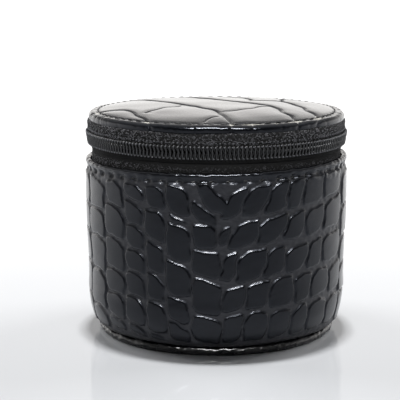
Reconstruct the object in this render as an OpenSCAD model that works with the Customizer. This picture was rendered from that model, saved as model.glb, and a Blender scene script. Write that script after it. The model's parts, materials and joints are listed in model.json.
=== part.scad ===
// Round zip-up jewellery case. Millimetres, +Z up, front towards -Y, hinge at the back (+Y).
// The origin is the centre of the underside, on the surface the case stands on.

/* [Case body] */
// Diameter over the rolled rim, the widest part of the case
case_d = 100; // [88:1:130]
// Height of the rolled rim above the ground
rim_h = 67.5; // [56:0.5:90]
// Radius of the rolled rim's bead
bead_r = 1.35; // [1.1:0.05:1.6]
// How far the leather wall stands inside the rim's outer edge, just above the bottom curl
wall_inset = 1.2; // [0.8:0.1:1.8]
// Radius of the curl that turns the wall leather under the case
curl_r = 6.8; // [6:0.1:8]
// Width of the leather hem turned in under the case
hem_w = 4; // [2:0.5:8]
// Thickness of the wall leather
leather_t = 1.1; // [0.9:0.05:1.3]
// Distance of the rim stitching below the top of the rim
rim_stitch_drop = 3.1; // [2.6:0.1:3.4]

/* [Base] */
// Height of the covered disc that the case stands on
base_h = 3.2; // [2.6:0.1:5]
// How far the base disc stands inside the rim's outer edge
base_inset = 5.3; // [5:0.1:9]
// Thickness of the leather over the base disc
base_leather_t = 1.1; // [0.8:0.1:1.4]

/* [Boards and lining] */
// Thickness of the wall board
board_t = 1.4; // [1:0.1:2]
// Thickness of the bottom board
bottom_board_t = 2; // [1.5:0.1:3]
// Thickness of the velvet wall lining
lining_t = 0.8; // [0.5:0.1:1.5]
// Thickness of the floor pad
floor_pad_t = 2; // [1:0.1:4]
// How far the zip tape reaches down behind the rim leather
tape_seam = 8; // [6:0.5:12]

/* [Inside fittings] */
// Thickness of the velvet-covered dividers
divider_t = 2.4; // [1.6:0.1:4]
// Height of the long divider above the floor pad
divider_h = 43.7; // [30:0.1:44]
// Height of the short divider above the floor pad
cross_divider_h = 39.7; // [25:0.1:43]
// Height of the block under the ring rolls
ring_block_h = 29.7; // [15:0.1:30]
// Diameter of each ring roll, as a share of the space between divider and wall
roll_share = 0.28; // [0.22:0.01:0.29]
// Gap between neighbouring ring rolls
roll_gap = 0.4; // [0.3:0.1:1]

/* [Zip] */
// Height of the zip chain's centre line above the rim
chain_rise = 7; // [6.8:0.1:12]
// Width of the closed chain
chain_w = 5.4; // [5:0.1:6.4]
// How far the coils stand out from the tape
coil_depth = 1.05; // [0.8:0.05:1.3]
// Slit between the two coils that the slider's web runs in
chain_slit = 0.9; // [0.8:0.05:1.1]
// Thickness of the zip tape
tape_t = 0.6; // [0.5:0.05:0.8]
// How far the tape leans outwards for each millimetre of height beside the chain
tape_lean = 0.16; // [0.1:0.01:0.2]
// Angle at the back that is left free of zip for the hinge
hinge_angle = 54; // [44:1:66]

/* [Slider] */
// Width of the slider across the chain
slider_w = 7.4; // [7.2:0.1:7.6]
// Length of the slider along the chain, as an angle about the case
slider_angle = 12; // [10:0.5:13]
// Thickness of the slider's outer plate
plate_t = 0.9; // [0.7:0.05:1.2]
// Running gap between the slider and the chain
run_gap = 0.3; // [0.25:0.05:0.35]
// Thickness of the web that joins the slider's plates through the chain
web_t = 0.4; // [0.3:0.05:0.5]
// Length of the pull from its pivot to its tip
pull_len = 16; // [13:0.5:17]
// Thickness of the pull and of its pivot bar
pull_t = 1; // [0.8:0.05:1.1]

/* [Lid] */
// Height from the chain's centre line to the underside of the lid leather
lid_rise = 6.9; // [6.6:0.1:9]
// Thickness of the lid, from the underside of its leather to the top
lid_t = 3.6; // [3.4:0.1:5]
// How far the lid stands inside the rim's outer edge
lid_inset = 1.4; // [1:0.1:2]
// Thickness of the lid board
lid_board_t = 1.2; // [0.8:0.1:1.3]
// Thickness of the wadding between lid board and lid leather
wadding_t = 0.8; // [0.4:0.1:0.9]
// Thickness of the leather hem turned in under the lid
lid_hem_t = 0.6; // [0.4:0.1:0.7]
// Width of the leather hem turned in under the lid
lid_hem_w = 7.1; // [5.5:0.1:8]
// Distance of the lid stitching from the lid's edge
lid_stitch_in = 3.7; // [3.4:0.1:7]
// Thickness of the lining pad under the lid
lid_pad_t = 2.2; // [1:0.1:2.3]

/* [Stitching] */
// Length of one visible stitch
stitch_len = 3.2; // [2:0.1:4]
// Pitch of the stitches along a seam
stitch_pitch = 5; // [4.2:0.1:6]
// Thickness of the sewing thread
thread_d = 0.5; // [0.3:0.05:0.55]

/* [Hidden] */

$fn = 96;
rim_r = case_d / 2;
wall_r = rim_r - wall_inset;
base_r = rim_r - base_inset;
lid_r = rim_r - lid_inset;

// The wall from outside to inside: leather, board, lining; the tape lies just behind the rim.
bead_z = rim_h - bead_r;
tape_r = rim_r - 2 * bead_r;
board_r = wall_r - leather_t;
board_in_r = board_r - board_t;
lining_in_r = board_in_r - lining_t;
roll_d = roll_share * (lining_in_r - divider_t / 2);
hem_top = base_h + leather_t;
floor_z = hem_top + bottom_board_t;
pad_top = floor_z + floor_pad_t;
seam_z = rim_h - tape_seam;
lay_gap = 0.05;
lining_top = rim_h - 0.4;
curl_c = [wall_r - curl_r, base_h + curl_r];
hem_in_r = curl_c[0] - hem_w;

// Heights of the zip and of the lid.
chain_z = rim_h + chain_rise;
lean_z = chain_z - 4.2;
lid_z = chain_z + lid_rise;
top_z = lid_z + lid_t;
lid_cavity_z = lid_z + lid_hem_t;
lid_cavity_r = lid_r - 1.2;
lid_stitch_r = lid_r - lid_stitch_in;
lid_hem_in_r = lid_r - lid_hem_w;
lid_round = min(1.9, lid_t / 2);

// The zip runs from one side of the hinge round the front to the other. Angles from +X.
back = 90;
chain_from = back + hinge_angle / 2;
chain_to = back + 360 - hinge_angle / 2;
stop_angle = 1.4;
slider_play = 0.6;
slider_from = chain_from + stop_angle + slider_play + slider_angle / 2;
slider_to = chain_to - stop_angle - slider_play - slider_angle / 2;
lid_side_play = 0.5;
lid_chain_from = slider_from + slider_angle / 2 + lid_side_play;
lid_chain_to = slider_to - slider_angle / 2 - lid_side_play;

// Outer face of the tape beside the chain, and the faces of the slider's two plates.
function tape_face(z) = tape_r + tape_lean * (z - lean_z);
function plate_in(z) = tape_face(z) + coil_depth + run_gap;
function back_plate_out(z) = tape_face(z) - tape_t - run_gap - 0.1;

// Points on an arc, from one angle to another.
function arc(c, r, from, to, n) = [for (i = [0:n]) let (a = from + (to - from) * i / n)
    [c[0] + r * cos(a), c[1] + r * sin(a)]];

// A ring with this section, over an angle.
module ring(from, to) {
    rotate([0, 0, from])
        rotate_extrude(angle = to - from, $fn = 180) children();
}

// A full ring with this section.
module lathe() {
    rotate_extrude($fn = 180) children();
}

// Stitches laid round a circle, each a short straight length of thread.
module stitch_ring(r, z) {
    count = floor(2 * PI * r / stitch_pitch);
    for (i = [0:count - 1])
        rotate([0, 0, i * 360 / count])
            translate([r, -stitch_len / 2, z])
                rotate([-90, 0, 0])
                    cylinder(d = thread_d, h = stitch_len, $fn = 16);
}

// Glossy covered disc under the case: leather turned up round the edge of its board.
module base_cover() {
    edge = min(0.9, base_h / 3);
    color("#141416") lathe() polygon(concat(
        [[0, 0]],
        arc([base_r - edge, edge], edge, -90, 0, 5),
        arc([base_r - edge, base_h - edge], edge, 0, 90, 5),
        [[base_r - base_leather_t - edge / 2, base_h]],
        [[base_r - base_leather_t - edge / 2, base_leather_t], [0, base_leather_t]]));
}

// Board inside the base disc, raised in the middle to meet the bottom board.
module base_board() {
    edge = min(0.9, base_h / 3);
    disc_r = base_r - base_leather_t - edge / 2;
    color("#8a7a63") union() {
        translate([0, 0, base_leather_t])
            cylinder(r = disc_r, h = base_h - base_leather_t, $fn = 180);
        translate([0, 0, base_leather_t])
            cylinder(r = hem_in_r, h = hem_top - base_leather_t, $fn = 180);
    }
}

// Embossed leather wall: hem turned under, bottom curl, wall, puffed seam and rolled rim.
module body_leather() {
    stitch_z = rim_h - rim_stitch_drop;
    groove_r = rim_r - 0.75;
    wall_h = rim_h - base_h;
    low_puff = base_h + 0.19 * wall_h;
    waist = base_h + 0.3 * wall_h;
    high_puff = base_h + 0.67 * wall_h;
    seam_puff = 5;
    bead_from = -35;
    outside = concat(
        arc(curl_c, curl_r, -90, 0, 10),
        [[wall_r + 0.3, low_puff], [wall_r, waist], [wall_r + 0.4, high_puff]],
        [[wall_r + 0.4, stitch_z - seam_puff], [rim_r - 0.4, stitch_z - 1.6]],
        [[groove_r + 0.05, stitch_z - 0.5], [groove_r, stitch_z + 0.1]],
        arc([rim_r - bead_r, bead_z], bead_r, bead_from, 180, 14));
    inside = [[tape_r, seam_z], [board_r, seam_z], [board_r, floor_z + 3.7],
        [board_in_r + 0.3, floor_z], [board_in_r - 2, floor_z], [board_in_r - 2, hem_top],
        [hem_in_r, hem_top], [hem_in_r, base_h]];
    color("#1b1b1e") lathe() polygon(concat(outside, inside));
}

// Stiff board tube inside the leather, thinned at its lower edge to follow the curl.
module body_board() {
    color("#8a7a63") lathe() polygon([[board_in_r, floor_z], [board_in_r + 0.3, floor_z],
        [board_r, floor_z + 3.7], [board_r, seam_z], [board_in_r, seam_z]]);
}

// Board disc over the turned-in hem, under the floor pad.
module bottom_board() {
    color("#8a7a63") translate([0, 0, hem_top])
        cylinder(r = board_in_r - 2, h = bottom_board_t, $fn = 180);
}

// Velvet wall lining, thicker at its top hem where it covers the back of the zip tape.
module lining_wall() {
    hem = lining_t / 2;
    hem_r = tape_r - tape_t - 2 * lay_gap;
    color("#3a3338") lathe() polygon(concat(
        [[lining_in_r, floor_z], [board_in_r, floor_z], [board_in_r, seam_z]],
        [[hem_r, seam_z], [hem_r, lining_top - hem]],
        [[hem_r - hem, lining_top], [lining_in_r + hem, lining_top]],
        [[lining_in_r, lining_top - hem]]));
}

// Velvet pad on the floor of the case.
module floor_pad() {
    color("#3a3338") translate([0, 0, floor_z])
        cylinder(r = lining_in_r, h = floor_pad_t, $fn = 180);
}

// Row of stitches just under the rolled rim.
module rim_stitching() {
    color("#0d0d0f") stitch_ring(rim_r - 0.75 + thread_d / 2 + 0.04, rim_h - rim_stitch_drop);
}

// Tape of the lower half of the zip, from behind the rim up to the chain's slit.
module lower_zip_tape() {
    z = chain_z - chain_slit / 2;
    sewn_r = tape_r - lay_gap;
    outside = [[sewn_r, seam_z], [sewn_r, rim_h + 0.3], [tape_r - 0.1, (rim_h + lean_z) / 2],
        [tape_r, lean_z], [tape_face(z), z]];
    inside = [for (i = [len(outside) - 1:-1:0]) outside[i] - [tape_t, 0]];
    color("#2c2c30") ring(chain_from, chain_to) polygon(concat(outside, inside));
}

// Half of the coil, from its stitched edge at height z_sew to the chain's slit at height z_mesh.
module coil_section(z_sew, z_mesh) {
    up = sign(z_mesh - z_sew);
    polygon([[tape_face(z_sew) + lay_gap, z_sew], [tape_face(z_sew) + coil_depth * 0.45, z_sew],
        [tape_face(z_sew) + coil_depth * 0.9, z_sew + up * 0.6],
        [tape_face(z_sew + up * 1.2) + coil_depth, z_sew + up * 1.2],
        [tape_face(z_mesh) + coil_depth * 0.92, z_mesh], [tape_face(z_mesh) + lay_gap, z_mesh]]);
}

// Nylon coil sewn to the lower tape.
module lower_zip_coil() {
    color("#111113") ring(chain_from + stop_angle, chain_to - stop_angle)
        coil_section(chain_z - chain_w / 2, chain_z - chain_slit / 2);
}

// Clamped end stop over the lower coil.
module end_stop(from) {
    z = chain_z - chain_slit / 2;
    low = chain_z - chain_w / 2 - 0.4;
    color("#202022") ring(from, from + stop_angle)
        polygon([[tape_face(low) + lay_gap, low], [tape_face(low) + coil_depth + 0.3, low],
            [tape_face(z) + coil_depth + 0.3, z], [tape_face(z) + lay_gap, z]]);
}

// Stop that holds the slider when the zip is closed.
module zip_top_stop() {
    end_stop(chain_from);
}

// Stop that holds the slider when the zip is open.
module zip_bottom_stop() {
    end_stop(chain_to - stop_angle);
}

// Velvet-covered board across the middle, front to back.
module long_divider() {
    half = sqrt(pow(lining_in_r, 2) - pow(divider_t / 2, 2));
    color("#463d43") translate([-divider_t / 2, -half, pad_top])
        cube([divider_t, 2 * half, divider_h]);
}

// Velvet-covered board that halves the open side.
module short_divider() {
    reach = sqrt(pow(lining_in_r, 2) - pow(divider_t / 2, 2));
    color("#463d43") translate([divider_t / 2, -divider_t / 2, pad_top])
        cube([reach - divider_t / 2, divider_t, cross_divider_h]);
}

// Foam block, covered in velvet, that fills one side of the case under the ring rolls.
module ring_block() {
    color("#3a3338") intersection() {
        translate([0, 0, pad_top]) cylinder(r = lining_in_r, h = ring_block_h, $fn = 180);
        translate([-case_d, -case_d, 0]) cube([case_d - divider_t / 2, 2 * case_d, rim_h]);
    }
}

// One padded ring roll: a round bar with domed ends, as long as the lining lets it be.
module ring_roll(index) {
    r = roll_d / 2;
    x = -divider_t / 2 - roll_gap - r - index * (roll_d + roll_gap);
    far = x - r * 0.8;
    half = sqrt(pow(lining_in_r - roll_gap, 2) - pow(far, 2)) - r;
    translate([x, 0, pad_top + ring_block_h + r]) rotate([90, 0, 0]) {
        cylinder(r = r, h = 2 * half, center = true, $fn = 64);
        for (side = [-1, 1]) translate([0, 0, side * half]) sphere(r = r, $fn = 64);
    }
}

// Ring roll beside the long divider.
module ring_roll_inner() {
    color("#4a4147") ring_roll(0);
}

// Middle ring roll.
module ring_roll_middle() {
    color("#4a4147") ring_roll(1);
}

// Ring roll beside the case wall, the shortest one.
module ring_roll_outer() {
    color("#4a4147") ring_roll(2);
}

// Lid leather: top, rounded edge and the hem turned in underneath, with the stitched groove.
module lid_leather() {
    shoulder = top_z - 0.2;
    groove_z = top_z - 0.75;
    groove_r = lid_stitch_r;
    color("#1b1b1e") lathe() polygon(concat(
        [[0, top_z], [groove_r - 3, top_z - 0.1], [groove_r - 0.9, top_z - 0.4]],
        [[groove_r - 0.4, groove_z], [groove_r + 0.4, groove_z], [groove_r + 0.9, top_z - 0.4]],
        arc([lid_r - lid_round, shoulder - lid_round], lid_round, 90, 0, 6),
        [[lid_r, lid_z + 0.7], [lid_r - 0.3, lid_z], [lid_hem_in_r, lid_z]],
        [[lid_hem_in_r, lid_cavity_z], [lid_cavity_r, lid_cavity_z]],
        [[lid_cavity_r, lid_cavity_z + lid_board_t], [lid_cavity_r - 1, lid_top_in()]],
        [[0, lid_top_in()]]));
}

// Height of the inner face of the lid leather.
function lid_top_in() = lid_cavity_z + lid_board_t + wadding_t;

// Board that keeps the lid flat.
module lid_board() {
    color("#8a7a63") translate([0, 0, lid_cavity_z])
        cylinder(r = lid_cavity_r, h = lid_board_t, $fn = 180);
}

// Wadding between the board and the lid leather.
module lid_wadding() {
    color("#d8d4cc") translate([0, 0, lid_cavity_z + lid_board_t])
        cylinder(r1 = lid_cavity_r, r2 = lid_cavity_r - 1, h = wadding_t, $fn = 180);
}

// Velvet pad under the lid, seated inside the turned-in hem and the tape.
module lid_lining_pad() {
    pad_z = lid_z - tape_t - lid_pad_t;
    pad_r = min(lining_in_r, back_plate_out(chain_z) - plate_t - 0.6);
    color("#3a3338") lathe() polygon([[0, pad_z], [pad_r - 0.8, pad_z], [pad_r, pad_z + 0.8],
        [pad_r, lid_z - tape_t], [lid_hem_in_r, lid_z - tape_t],
        [lid_hem_in_r, lid_cavity_z], [0, lid_cavity_z]]);
}

// Row of stitches in the groove round the lid.
module lid_stitching() {
    color("#0d0d0f") stitch_ring(lid_stitch_r, top_z - 0.75 + thread_d / 2 + 0.02);
}

// Height above which the upper tape is clear of the parked slider, and where it starts to bulge.
parked_top = chain_z + slider_w / 2 + 0.4;
shoulder_z = parked_top + 0.2;

// Cut that clears the slider's parking place below the shoulder of the upper tape.
module parking_cut(from, to) {
    ring(from, to)
        translate([tape_r - 2, chain_z]) square([rim_r - tape_r + 3, parked_top - chain_z]);
}

// Tape of the upper half of the zip, from the chain's slit over its bulge to the flange sewn in
// under the lid. Its lower edge stops short of the chain's ends, where the slider parks.
module upper_zip_tape() {
    low = chain_z + chain_slit / 2;
    crown_r = lid_r + 0.55;
    crown_z = lid_z - 1.4;
    outside = [[tape_face(low), low], [tape_face(shoulder_z), shoulder_z],
        [crown_r - 0.15, crown_z - 0.7], [crown_r, crown_z], [crown_r - 0.2, lid_z - 0.5],
        [lid_r - 0.1, lid_z], [lid_hem_in_r, lid_z]];
    inside = [[lid_hem_in_r, lid_z - tape_t], [lid_r - 0.5, lid_z - tape_t],
        [crown_r - tape_t, crown_z], [crown_r - 0.15 - tape_t, crown_z - 0.7],
        [tape_face(shoulder_z) - tape_t, shoulder_z], [tape_face(low) - tape_t, low]];
    color("#2c2c30") difference() {
        ring(chain_from, chain_to) polygon(concat(outside, inside));
        parking_cut(chain_from - 1, lid_chain_from);
        parking_cut(lid_chain_to, chain_to + 1);
    }
}

// Nylon coil sewn to the upper tape.
module upper_zip_coil() {
    color("#111113") ring(lid_chain_from, lid_chain_to)
        coil_section(chain_z + chain_w / 2, chain_z + chain_slit / 2);
}

// Leather strip at the back that joins case and lid and bends as the hinge.
module hinge_strip() {
    strip_from = back - hinge_angle / 2 + 0.3;
    strip_to = back + hinge_angle / 2 - 0.3;
    sewn_r = tape_r - lay_gap;
    flange_z = lid_z - 0.1;
    flange_t = tape_t - 0.2;
    neck_z = (rim_h + lean_z) / 2;
    outside = [[sewn_r, seam_z], [sewn_r, rim_h + 0.3], [tape_r + 0.3, neck_z],
        [tape_r + 0.5, lean_z], [tape_face(shoulder_z), shoulder_z], [lid_r - 0.1, flange_z],
        [lid_hem_in_r + 0.3, flange_z]];
    inside = [[lid_hem_in_r + 0.3, flange_z - flange_t], [lid_r - 0.9, flange_z - flange_t],
        [tape_face(shoulder_z) - 0.8, shoulder_z], [tape_r - 0.3, lean_z],
        [sewn_r - tape_t, rim_h + 0.3], [sewn_r - tape_t, seam_z]];
    color("#1b1b1e") ring(strip_from, strip_to) polygon(concat(outside, inside));
}

// Velvet strip inside the hinge.
module hinge_lining() {
    strip_from = back - hinge_angle / 2 + 1;
    strip_to = back + hinge_angle / 2 - 1;
    low = lining_top + 0.3;
    high = lid_z - tape_t - lid_pad_t;
    hem_r = tape_r - tape_t - 0.25;
    color("#3a3338") ring(strip_from, strip_to) polygon([[hem_r, low], [tape_r - 0.5, lean_z],
        [tape_face(high) - 1, high], [tape_face(high) - 1 - lining_t, high],
        [tape_r - 0.5 - lining_t, lean_z], [hem_r - lining_t, low]]);
}

// Radius of the slider's outer face and of the pull's pivot.
plate_face = plate_in(chain_z) + plate_t;
pivot_out = 0.75 + pull_t / 2;
pivot_r = plate_face + pivot_out;
bridge_reach = pivot_out + pull_t / 2 + 1.15;
bridge_half = 3;
bridge_w = 1.5;
post_t = 1;

// Both plates and the web of the slider, as a section turned about the case's axis.
module slider_section() {
    z0 = chain_z - slider_w / 2;
    z1 = chain_z + slider_w / 2;
    lip = 0.6;
    polygon([[plate_in(z0) + plate_t, z0], [plate_in(z1) + plate_t, z1],
        [tape_face(z1) + 0.8, z1], [tape_face(z1) + 0.8, z1 - lip],
        [plate_in(z1 - lip), z1 - lip], [plate_in(z0 + lip), z0 + lip],
        [tape_face(z0) + 0.5, z0 + lip], [tape_face(z0) + 0.5, z0]]);
    polygon([[back_plate_out(z0), z0], [back_plate_out(z1), z1],
        [back_plate_out(z1) - 0.8, z1], [back_plate_out(z0) - 0.8, z0]]);
}

// Slider: two plates joined by a thin web, with a bridge that holds the pull.
module slider_at_x() {
    half = slider_angle / 2;
    reach = rim_r * sin(half);
    hw = slider_w / 2;
    block = 20;
    intersection() {
        ring(-half, half) slider_section();
        translate([rim_r - block / 2, 0, chain_z]) rotate([90, 0, 90]) linear_extrude(height = block)
            polygon([[-reach, hw - 1.2], [-reach * 0.65, hw], [reach * 0.4, hw],
                [reach, hw - 0.7], [reach, 0.7 - hw], [reach * 0.4, -hw],
                [-reach * 0.65, -hw], [-reach, 1.2 - hw]]);
    }
    ring(-2, 2) polygon([[back_plate_out(chain_z) - 0.3, chain_z - web_t / 2],
        [plate_in(chain_z) + 0.3, chain_z - web_t / 2],
        [plate_in(chain_z) + 0.3, chain_z + web_t / 2],
        [back_plate_out(chain_z) - 0.3, chain_z + web_t / 2]]);
    translate([plate_face, 0, chain_z]) difference() {
        translate([-0.5, -bridge_half, -bridge_w / 2])
            cube([bridge_reach + 0.5, 2 * bridge_half, bridge_w]);
        translate([-0.01, post_t - bridge_half, -bridge_w])
            cube([bridge_reach - 0.79, 2 * (bridge_half - post_t), 2 * bridge_w]);
    }
}

// Zip slider, parked at the closed end of the zip.
module slider_body() {
    color("#1a1a1c") rotate([0, 0, slider_from]) slider_at_x();
}

// Pull: an eye round the slider's bridge, a pivot bar through it and a rounded tab.
module slider_pull() {
    eye = 4;
    arm_in = bridge_w / 2 + run_gap;
    arm_out = arm_in + 1.3;
    tab = 3.2;
    color("#1a1a1c") rotate([0, 0, slider_from]) translate([pivot_r, 0, chain_z]) {
        cylinder(d = pull_t, h = 2 * arm_in + 1, center = true, $fn = 32);
        difference() {
            translate([-pull_t / 2, 0, 0]) rotate([90, 0, 90]) linear_extrude(height = pull_t)
                union() {
                    translate([0, -arm_out]) square([eye + 1, 2 * arm_out]);
                    translate([eye, -tab]) square([pull_len - eye - tab, 2 * tab]);
                    translate([pull_len - tab, 0]) circle(r = tab, $fn = 48);
                }
            translate([-pull_t, -pull_t, -arm_in]) cube([2 * pull_t, eye + pull_t, 2 * arm_in]);
        }
        for (side = [-1, 1]) translate([0, 0, side * (arm_in + arm_out) / 2])
            cylinder(d = pull_t, h = arm_out - arm_in, center = true, $fn = 32);
    }
}

base_cover();
base_board();
body_leather();
body_board();
bottom_board();
lining_wall();
floor_pad();
rim_stitching();
lower_zip_tape();
lower_zip_coil();
zip_top_stop();
zip_bottom_stop();
long_divider();
short_divider();
ring_block();
ring_roll_inner();
ring_roll_middle();
ring_roll_outer();
lid_leather();
lid_board();
lid_wadding();
lid_lining_pad();
lid_stitching();
upper_zip_tape();
upper_zip_coil();
hinge_strip();
hinge_lining();
slider_body();
slider_pull();
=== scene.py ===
"""Dresses a round zip-up jewellery case: embossed leather, coil zip, velvet lining, white table."""

import json
import math

import bpy
import numpy as np
from bpy.props import FloatProperty, FloatVectorProperty, PointerProperty, StringProperty
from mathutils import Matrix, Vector


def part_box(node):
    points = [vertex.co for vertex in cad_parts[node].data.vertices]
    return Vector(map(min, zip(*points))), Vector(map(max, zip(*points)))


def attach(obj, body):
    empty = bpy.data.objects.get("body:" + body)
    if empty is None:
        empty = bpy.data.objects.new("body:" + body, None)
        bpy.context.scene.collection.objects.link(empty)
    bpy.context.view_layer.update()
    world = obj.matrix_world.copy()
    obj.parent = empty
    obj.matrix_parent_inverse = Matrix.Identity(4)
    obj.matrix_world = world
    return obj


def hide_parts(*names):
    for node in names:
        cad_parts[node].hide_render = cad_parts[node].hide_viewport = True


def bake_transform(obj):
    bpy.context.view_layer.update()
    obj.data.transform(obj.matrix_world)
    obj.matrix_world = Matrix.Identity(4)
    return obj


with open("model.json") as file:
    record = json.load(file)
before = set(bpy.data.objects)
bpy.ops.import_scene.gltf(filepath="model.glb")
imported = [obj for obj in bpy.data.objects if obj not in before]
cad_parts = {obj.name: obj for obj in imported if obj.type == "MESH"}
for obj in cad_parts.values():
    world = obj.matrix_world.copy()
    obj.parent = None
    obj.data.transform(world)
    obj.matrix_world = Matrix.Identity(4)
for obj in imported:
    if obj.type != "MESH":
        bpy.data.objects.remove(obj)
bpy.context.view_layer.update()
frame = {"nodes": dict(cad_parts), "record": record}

bl_info = {
    "name": "Round jewellery case",
    "version": (1, 0, 0),
    "blender": (4, 5, 0),
    "location": "View3D > Sidebar > Jewellery case",
    "description": "Builds the leather, zip, lining and stage of a round jewellery case",
    "category": "Object",
}

MM = 0.001


def node_size(name):
    """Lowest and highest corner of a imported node, in millimetres."""
    low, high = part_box(name)
    return np.array(low) / MM, np.array(high) / MM


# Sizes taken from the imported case, in millimetres.
RIM_R = node_size("body_leather")[1][0]
RIM_TOP = node_size("body_leather")[1][2]
BASE_TOP = node_size("base_cover")[1][2]
BASE_R = node_size("base_cover")[1][0]
LID_R = node_size("lid_leather")[1][0]
LID_LOW, LID_TOP = (node_size("lid_leather")[i][2] for i in (0, 1))
COIL_LOW = node_size("lower_zip_coil")[0][2]
COIL_HIGH = node_size("upper_zip_coil")[1][2]
CHAIN_Z = (COIL_LOW + COIL_HIGH) / 2
LINING_LOW, LINING_TOP = (node_size("lining_wall")[i][2] for i in (0, 1))
LINING_IN_R = node_size("floor_pad")[1][0]
SEAM_Z = node_size("lower_zip_tape")[0][2]

# Wall leather: radius of the wall and of its hem, the curl under it, the bead rolled round the
# rim, and the height of the seam.
WALL_R = RIM_R - 1.2
HEM_R = WALL_R - 10.8
CURL_R = 3.2
BEAD_R = 1.2
STITCH_Z = RIM_TOP - 3.1
# Lid leather: radius of the seam and the pitch of its stitches.
LID_SEAM_R = LID_R - 3.6
LID_PITCH = 4.0
# Share of the relief field that is kept for stitch holes, which are painted dark as shade; the
# scales use the rest.
HOLE_SHARE = 0.2
# Tapes: thickness, radius of the outer face, and how it leans out above a height.
TAPE_T = 0.6
TAPE_R = RIM_R - 2.35
TAPE_LEAN = 0.16
LEAN_Z = CHAIN_Z - 4.2
# Chain: half the height and half the depth of a row of loops, how far its middle stands above
# or below the chain's and out from the tape, how far out the pitch is measured, and how far
# each row moves off where the slider parks.
ROW_HALF = 1.3
ROW_DEEP = 0.45
ROW_OFF = 1.02
ROW_OUT = 0.55
PITCH_OUT = 0.85
PARTING = 0.88

# Angles from +X, in degrees: the zip's ends beside the hinge, and where the slider parks.
BACK, FRONT = 90.0, 270.0
CHAIN_FROM, CHAIN_TO = 117.0, 423.0
LID_CHAIN_FROM, LID_CHAIN_TO = 131.5, 408.5
STOP_ANGLE = 1.4
JOINTS = {joint["name"]: joint for joint in frame["record"]["behaviour"]["joints"]}
PIVOT_X, PIVOT_Y = JOINTS["pull_swing"]["pos_m"][:2]
SLIDER_AT = math.degrees(math.atan2(PIVOT_Y, PIVOT_X))
TRAVEL = JOINTS["zip_travel"]["range_deg"][1]
PIVOT_R = math.hypot(PIVOT_X, PIVOT_Y) / MM
PLATE_R = PIVOT_R - 1.1


# ---------------------------------------------------------------------------------------------
# Sizes and colours that a user can change


LENGTH = {"subtype": "DISTANCE", "unit": "LENGTH"}


class CASE_PG_leather(bpy.types.PropertyGroup):
    """Embossed leather."""

    valley_depth: FloatProperty(
        name="Valley depth",
        description="Depth of the valleys between the scales",
        default=0.72 * MM,
        min=0.0,
        **LENGTH,
    )
    valley_width: FloatProperty(
        name="Valley width",
        description="Width of the valleys between the scales",
        default=0.05 * MM,
        min=0.0,
        **LENGTH,
    )
    shoulder: FloatProperty(
        name="Shoulder",
        description="Width of the rounded edge of each scale",
        default=0.66 * MM,
        min=0.0,
        **LENGTH,
    )
    lid_valley_depth: FloatProperty(
        name="Lid valley depth",
        description="Depth of the long valleys over the lid",
        default=0.6 * MM,
        min=0.0,
        **LENGTH,
    )
    colour: StringProperty(
        name="Leather colour", description="sRGB hex colour of the leather", default="#0b0d12"
    )
    # Paler colour beside the valleys: partly wear, partly a painted highlight of the scale
    # shoulders; near the bottom curl it also carries a painted reflection of the table.
    worn_and_painted_highlight_colour: StringProperty(
        name="Worn colour",
        description="sRGB hex colour of the leather beside the valleys, where the glaze is thin",
        default="#3d3d40",
    )


class CASE_PG_zip(bpy.types.PropertyGroup):
    """Zip, tape and sewing thread."""

    coil_pitch: FloatProperty(
        name="Coil pitch",
        description="Distance from one nylon loop to the next",
        default=1.5 * MM,
        min=0.1 * MM,
        **LENGTH,
    )
    filament: FloatProperty(
        name="Filament",
        description="Thickness of the nylon filament",
        default=0.62 * MM,
        min=0.0,
        **LENGTH,
    )
    stitch_pitch: FloatProperty(
        name="Stitch pitch",
        description="Pitch of the stitches along the rim",
        default=6.1 * MM,
        min=0.5 * MM,
        **LENGTH,
    )
    tape_colour: StringProperty(
        name="Tape colour", description="sRGB hex colour of the woven tape", default="#121213"
    )
    coil_colour: StringProperty(
        name="Coil colour", description="sRGB hex colour of the nylon coil", default="#232427"
    )


class CASE_PG_lining(bpy.types.PropertyGroup):
    """Velvet lining."""

    colour: StringProperty(
        name="Velvet colour", description="sRGB hex colour of the velvet", default="#1b1a1e"
    )
    crown: FloatProperty(
        name="Crown",
        description="How far the middle of a pad stands above its edge",
        default=0.6 * MM,
        min=0.0,
        **LENGTH,
    )


class CASE_PG_stage(bpy.types.PropertyGroup):
    """Table and camera."""

    camera_place: FloatVectorProperty(
        name="Camera place",
        description="Where the camera stands",
        default=(-0.0062, -0.5153, 0.14396),
        subtype="TRANSLATION",
        unit="LENGTH",
    )
    camera_pitch: FloatProperty(
        name="Camera pitch",
        description="How far the camera looks down",
        default=math.radians(10.44),
        subtype="ANGLE",
        unit="ROTATION",
    )
    camera_lens: FloatProperty(
        name="Camera lens", description="Focal length in millimetres", default=122.1, min=1.0
    )
    table_colour: StringProperty(
        name="Table colour", description="sRGB hex colour of the table", default="#ebedf0"
    )


# ---------------------------------------------------------------------------------------------
# Shapes: grids of points, in millimetres, made into meshes


def wander(u, v, seed, longest=24.0, shortest=7.0):
    """Smooth random field of about unit height: a sum of eight seeded sine waves that run in
    random directions, with wavelengths between longest and shortest."""
    rng = np.random.default_rng(seed)
    total = np.zeros(np.broadcast(u, v).shape)
    for _ in range(8):
        turn, phase = rng.uniform(0, 2 * np.pi, 2)
        wave = 2 * np.pi / rng.uniform(shortest, longest)
        total = total + np.sin(wave * (u * np.cos(turn) + v * np.sin(turn)) + phase)
    return total / 2.8


def smoothstep(low, high, x):
    """0 below low, 1 above high, and a smooth cubic rise between."""
    t = np.clip((x - low) / (high - low), 0, 1)
    return t * t * (3 - 2 * t)


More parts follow.
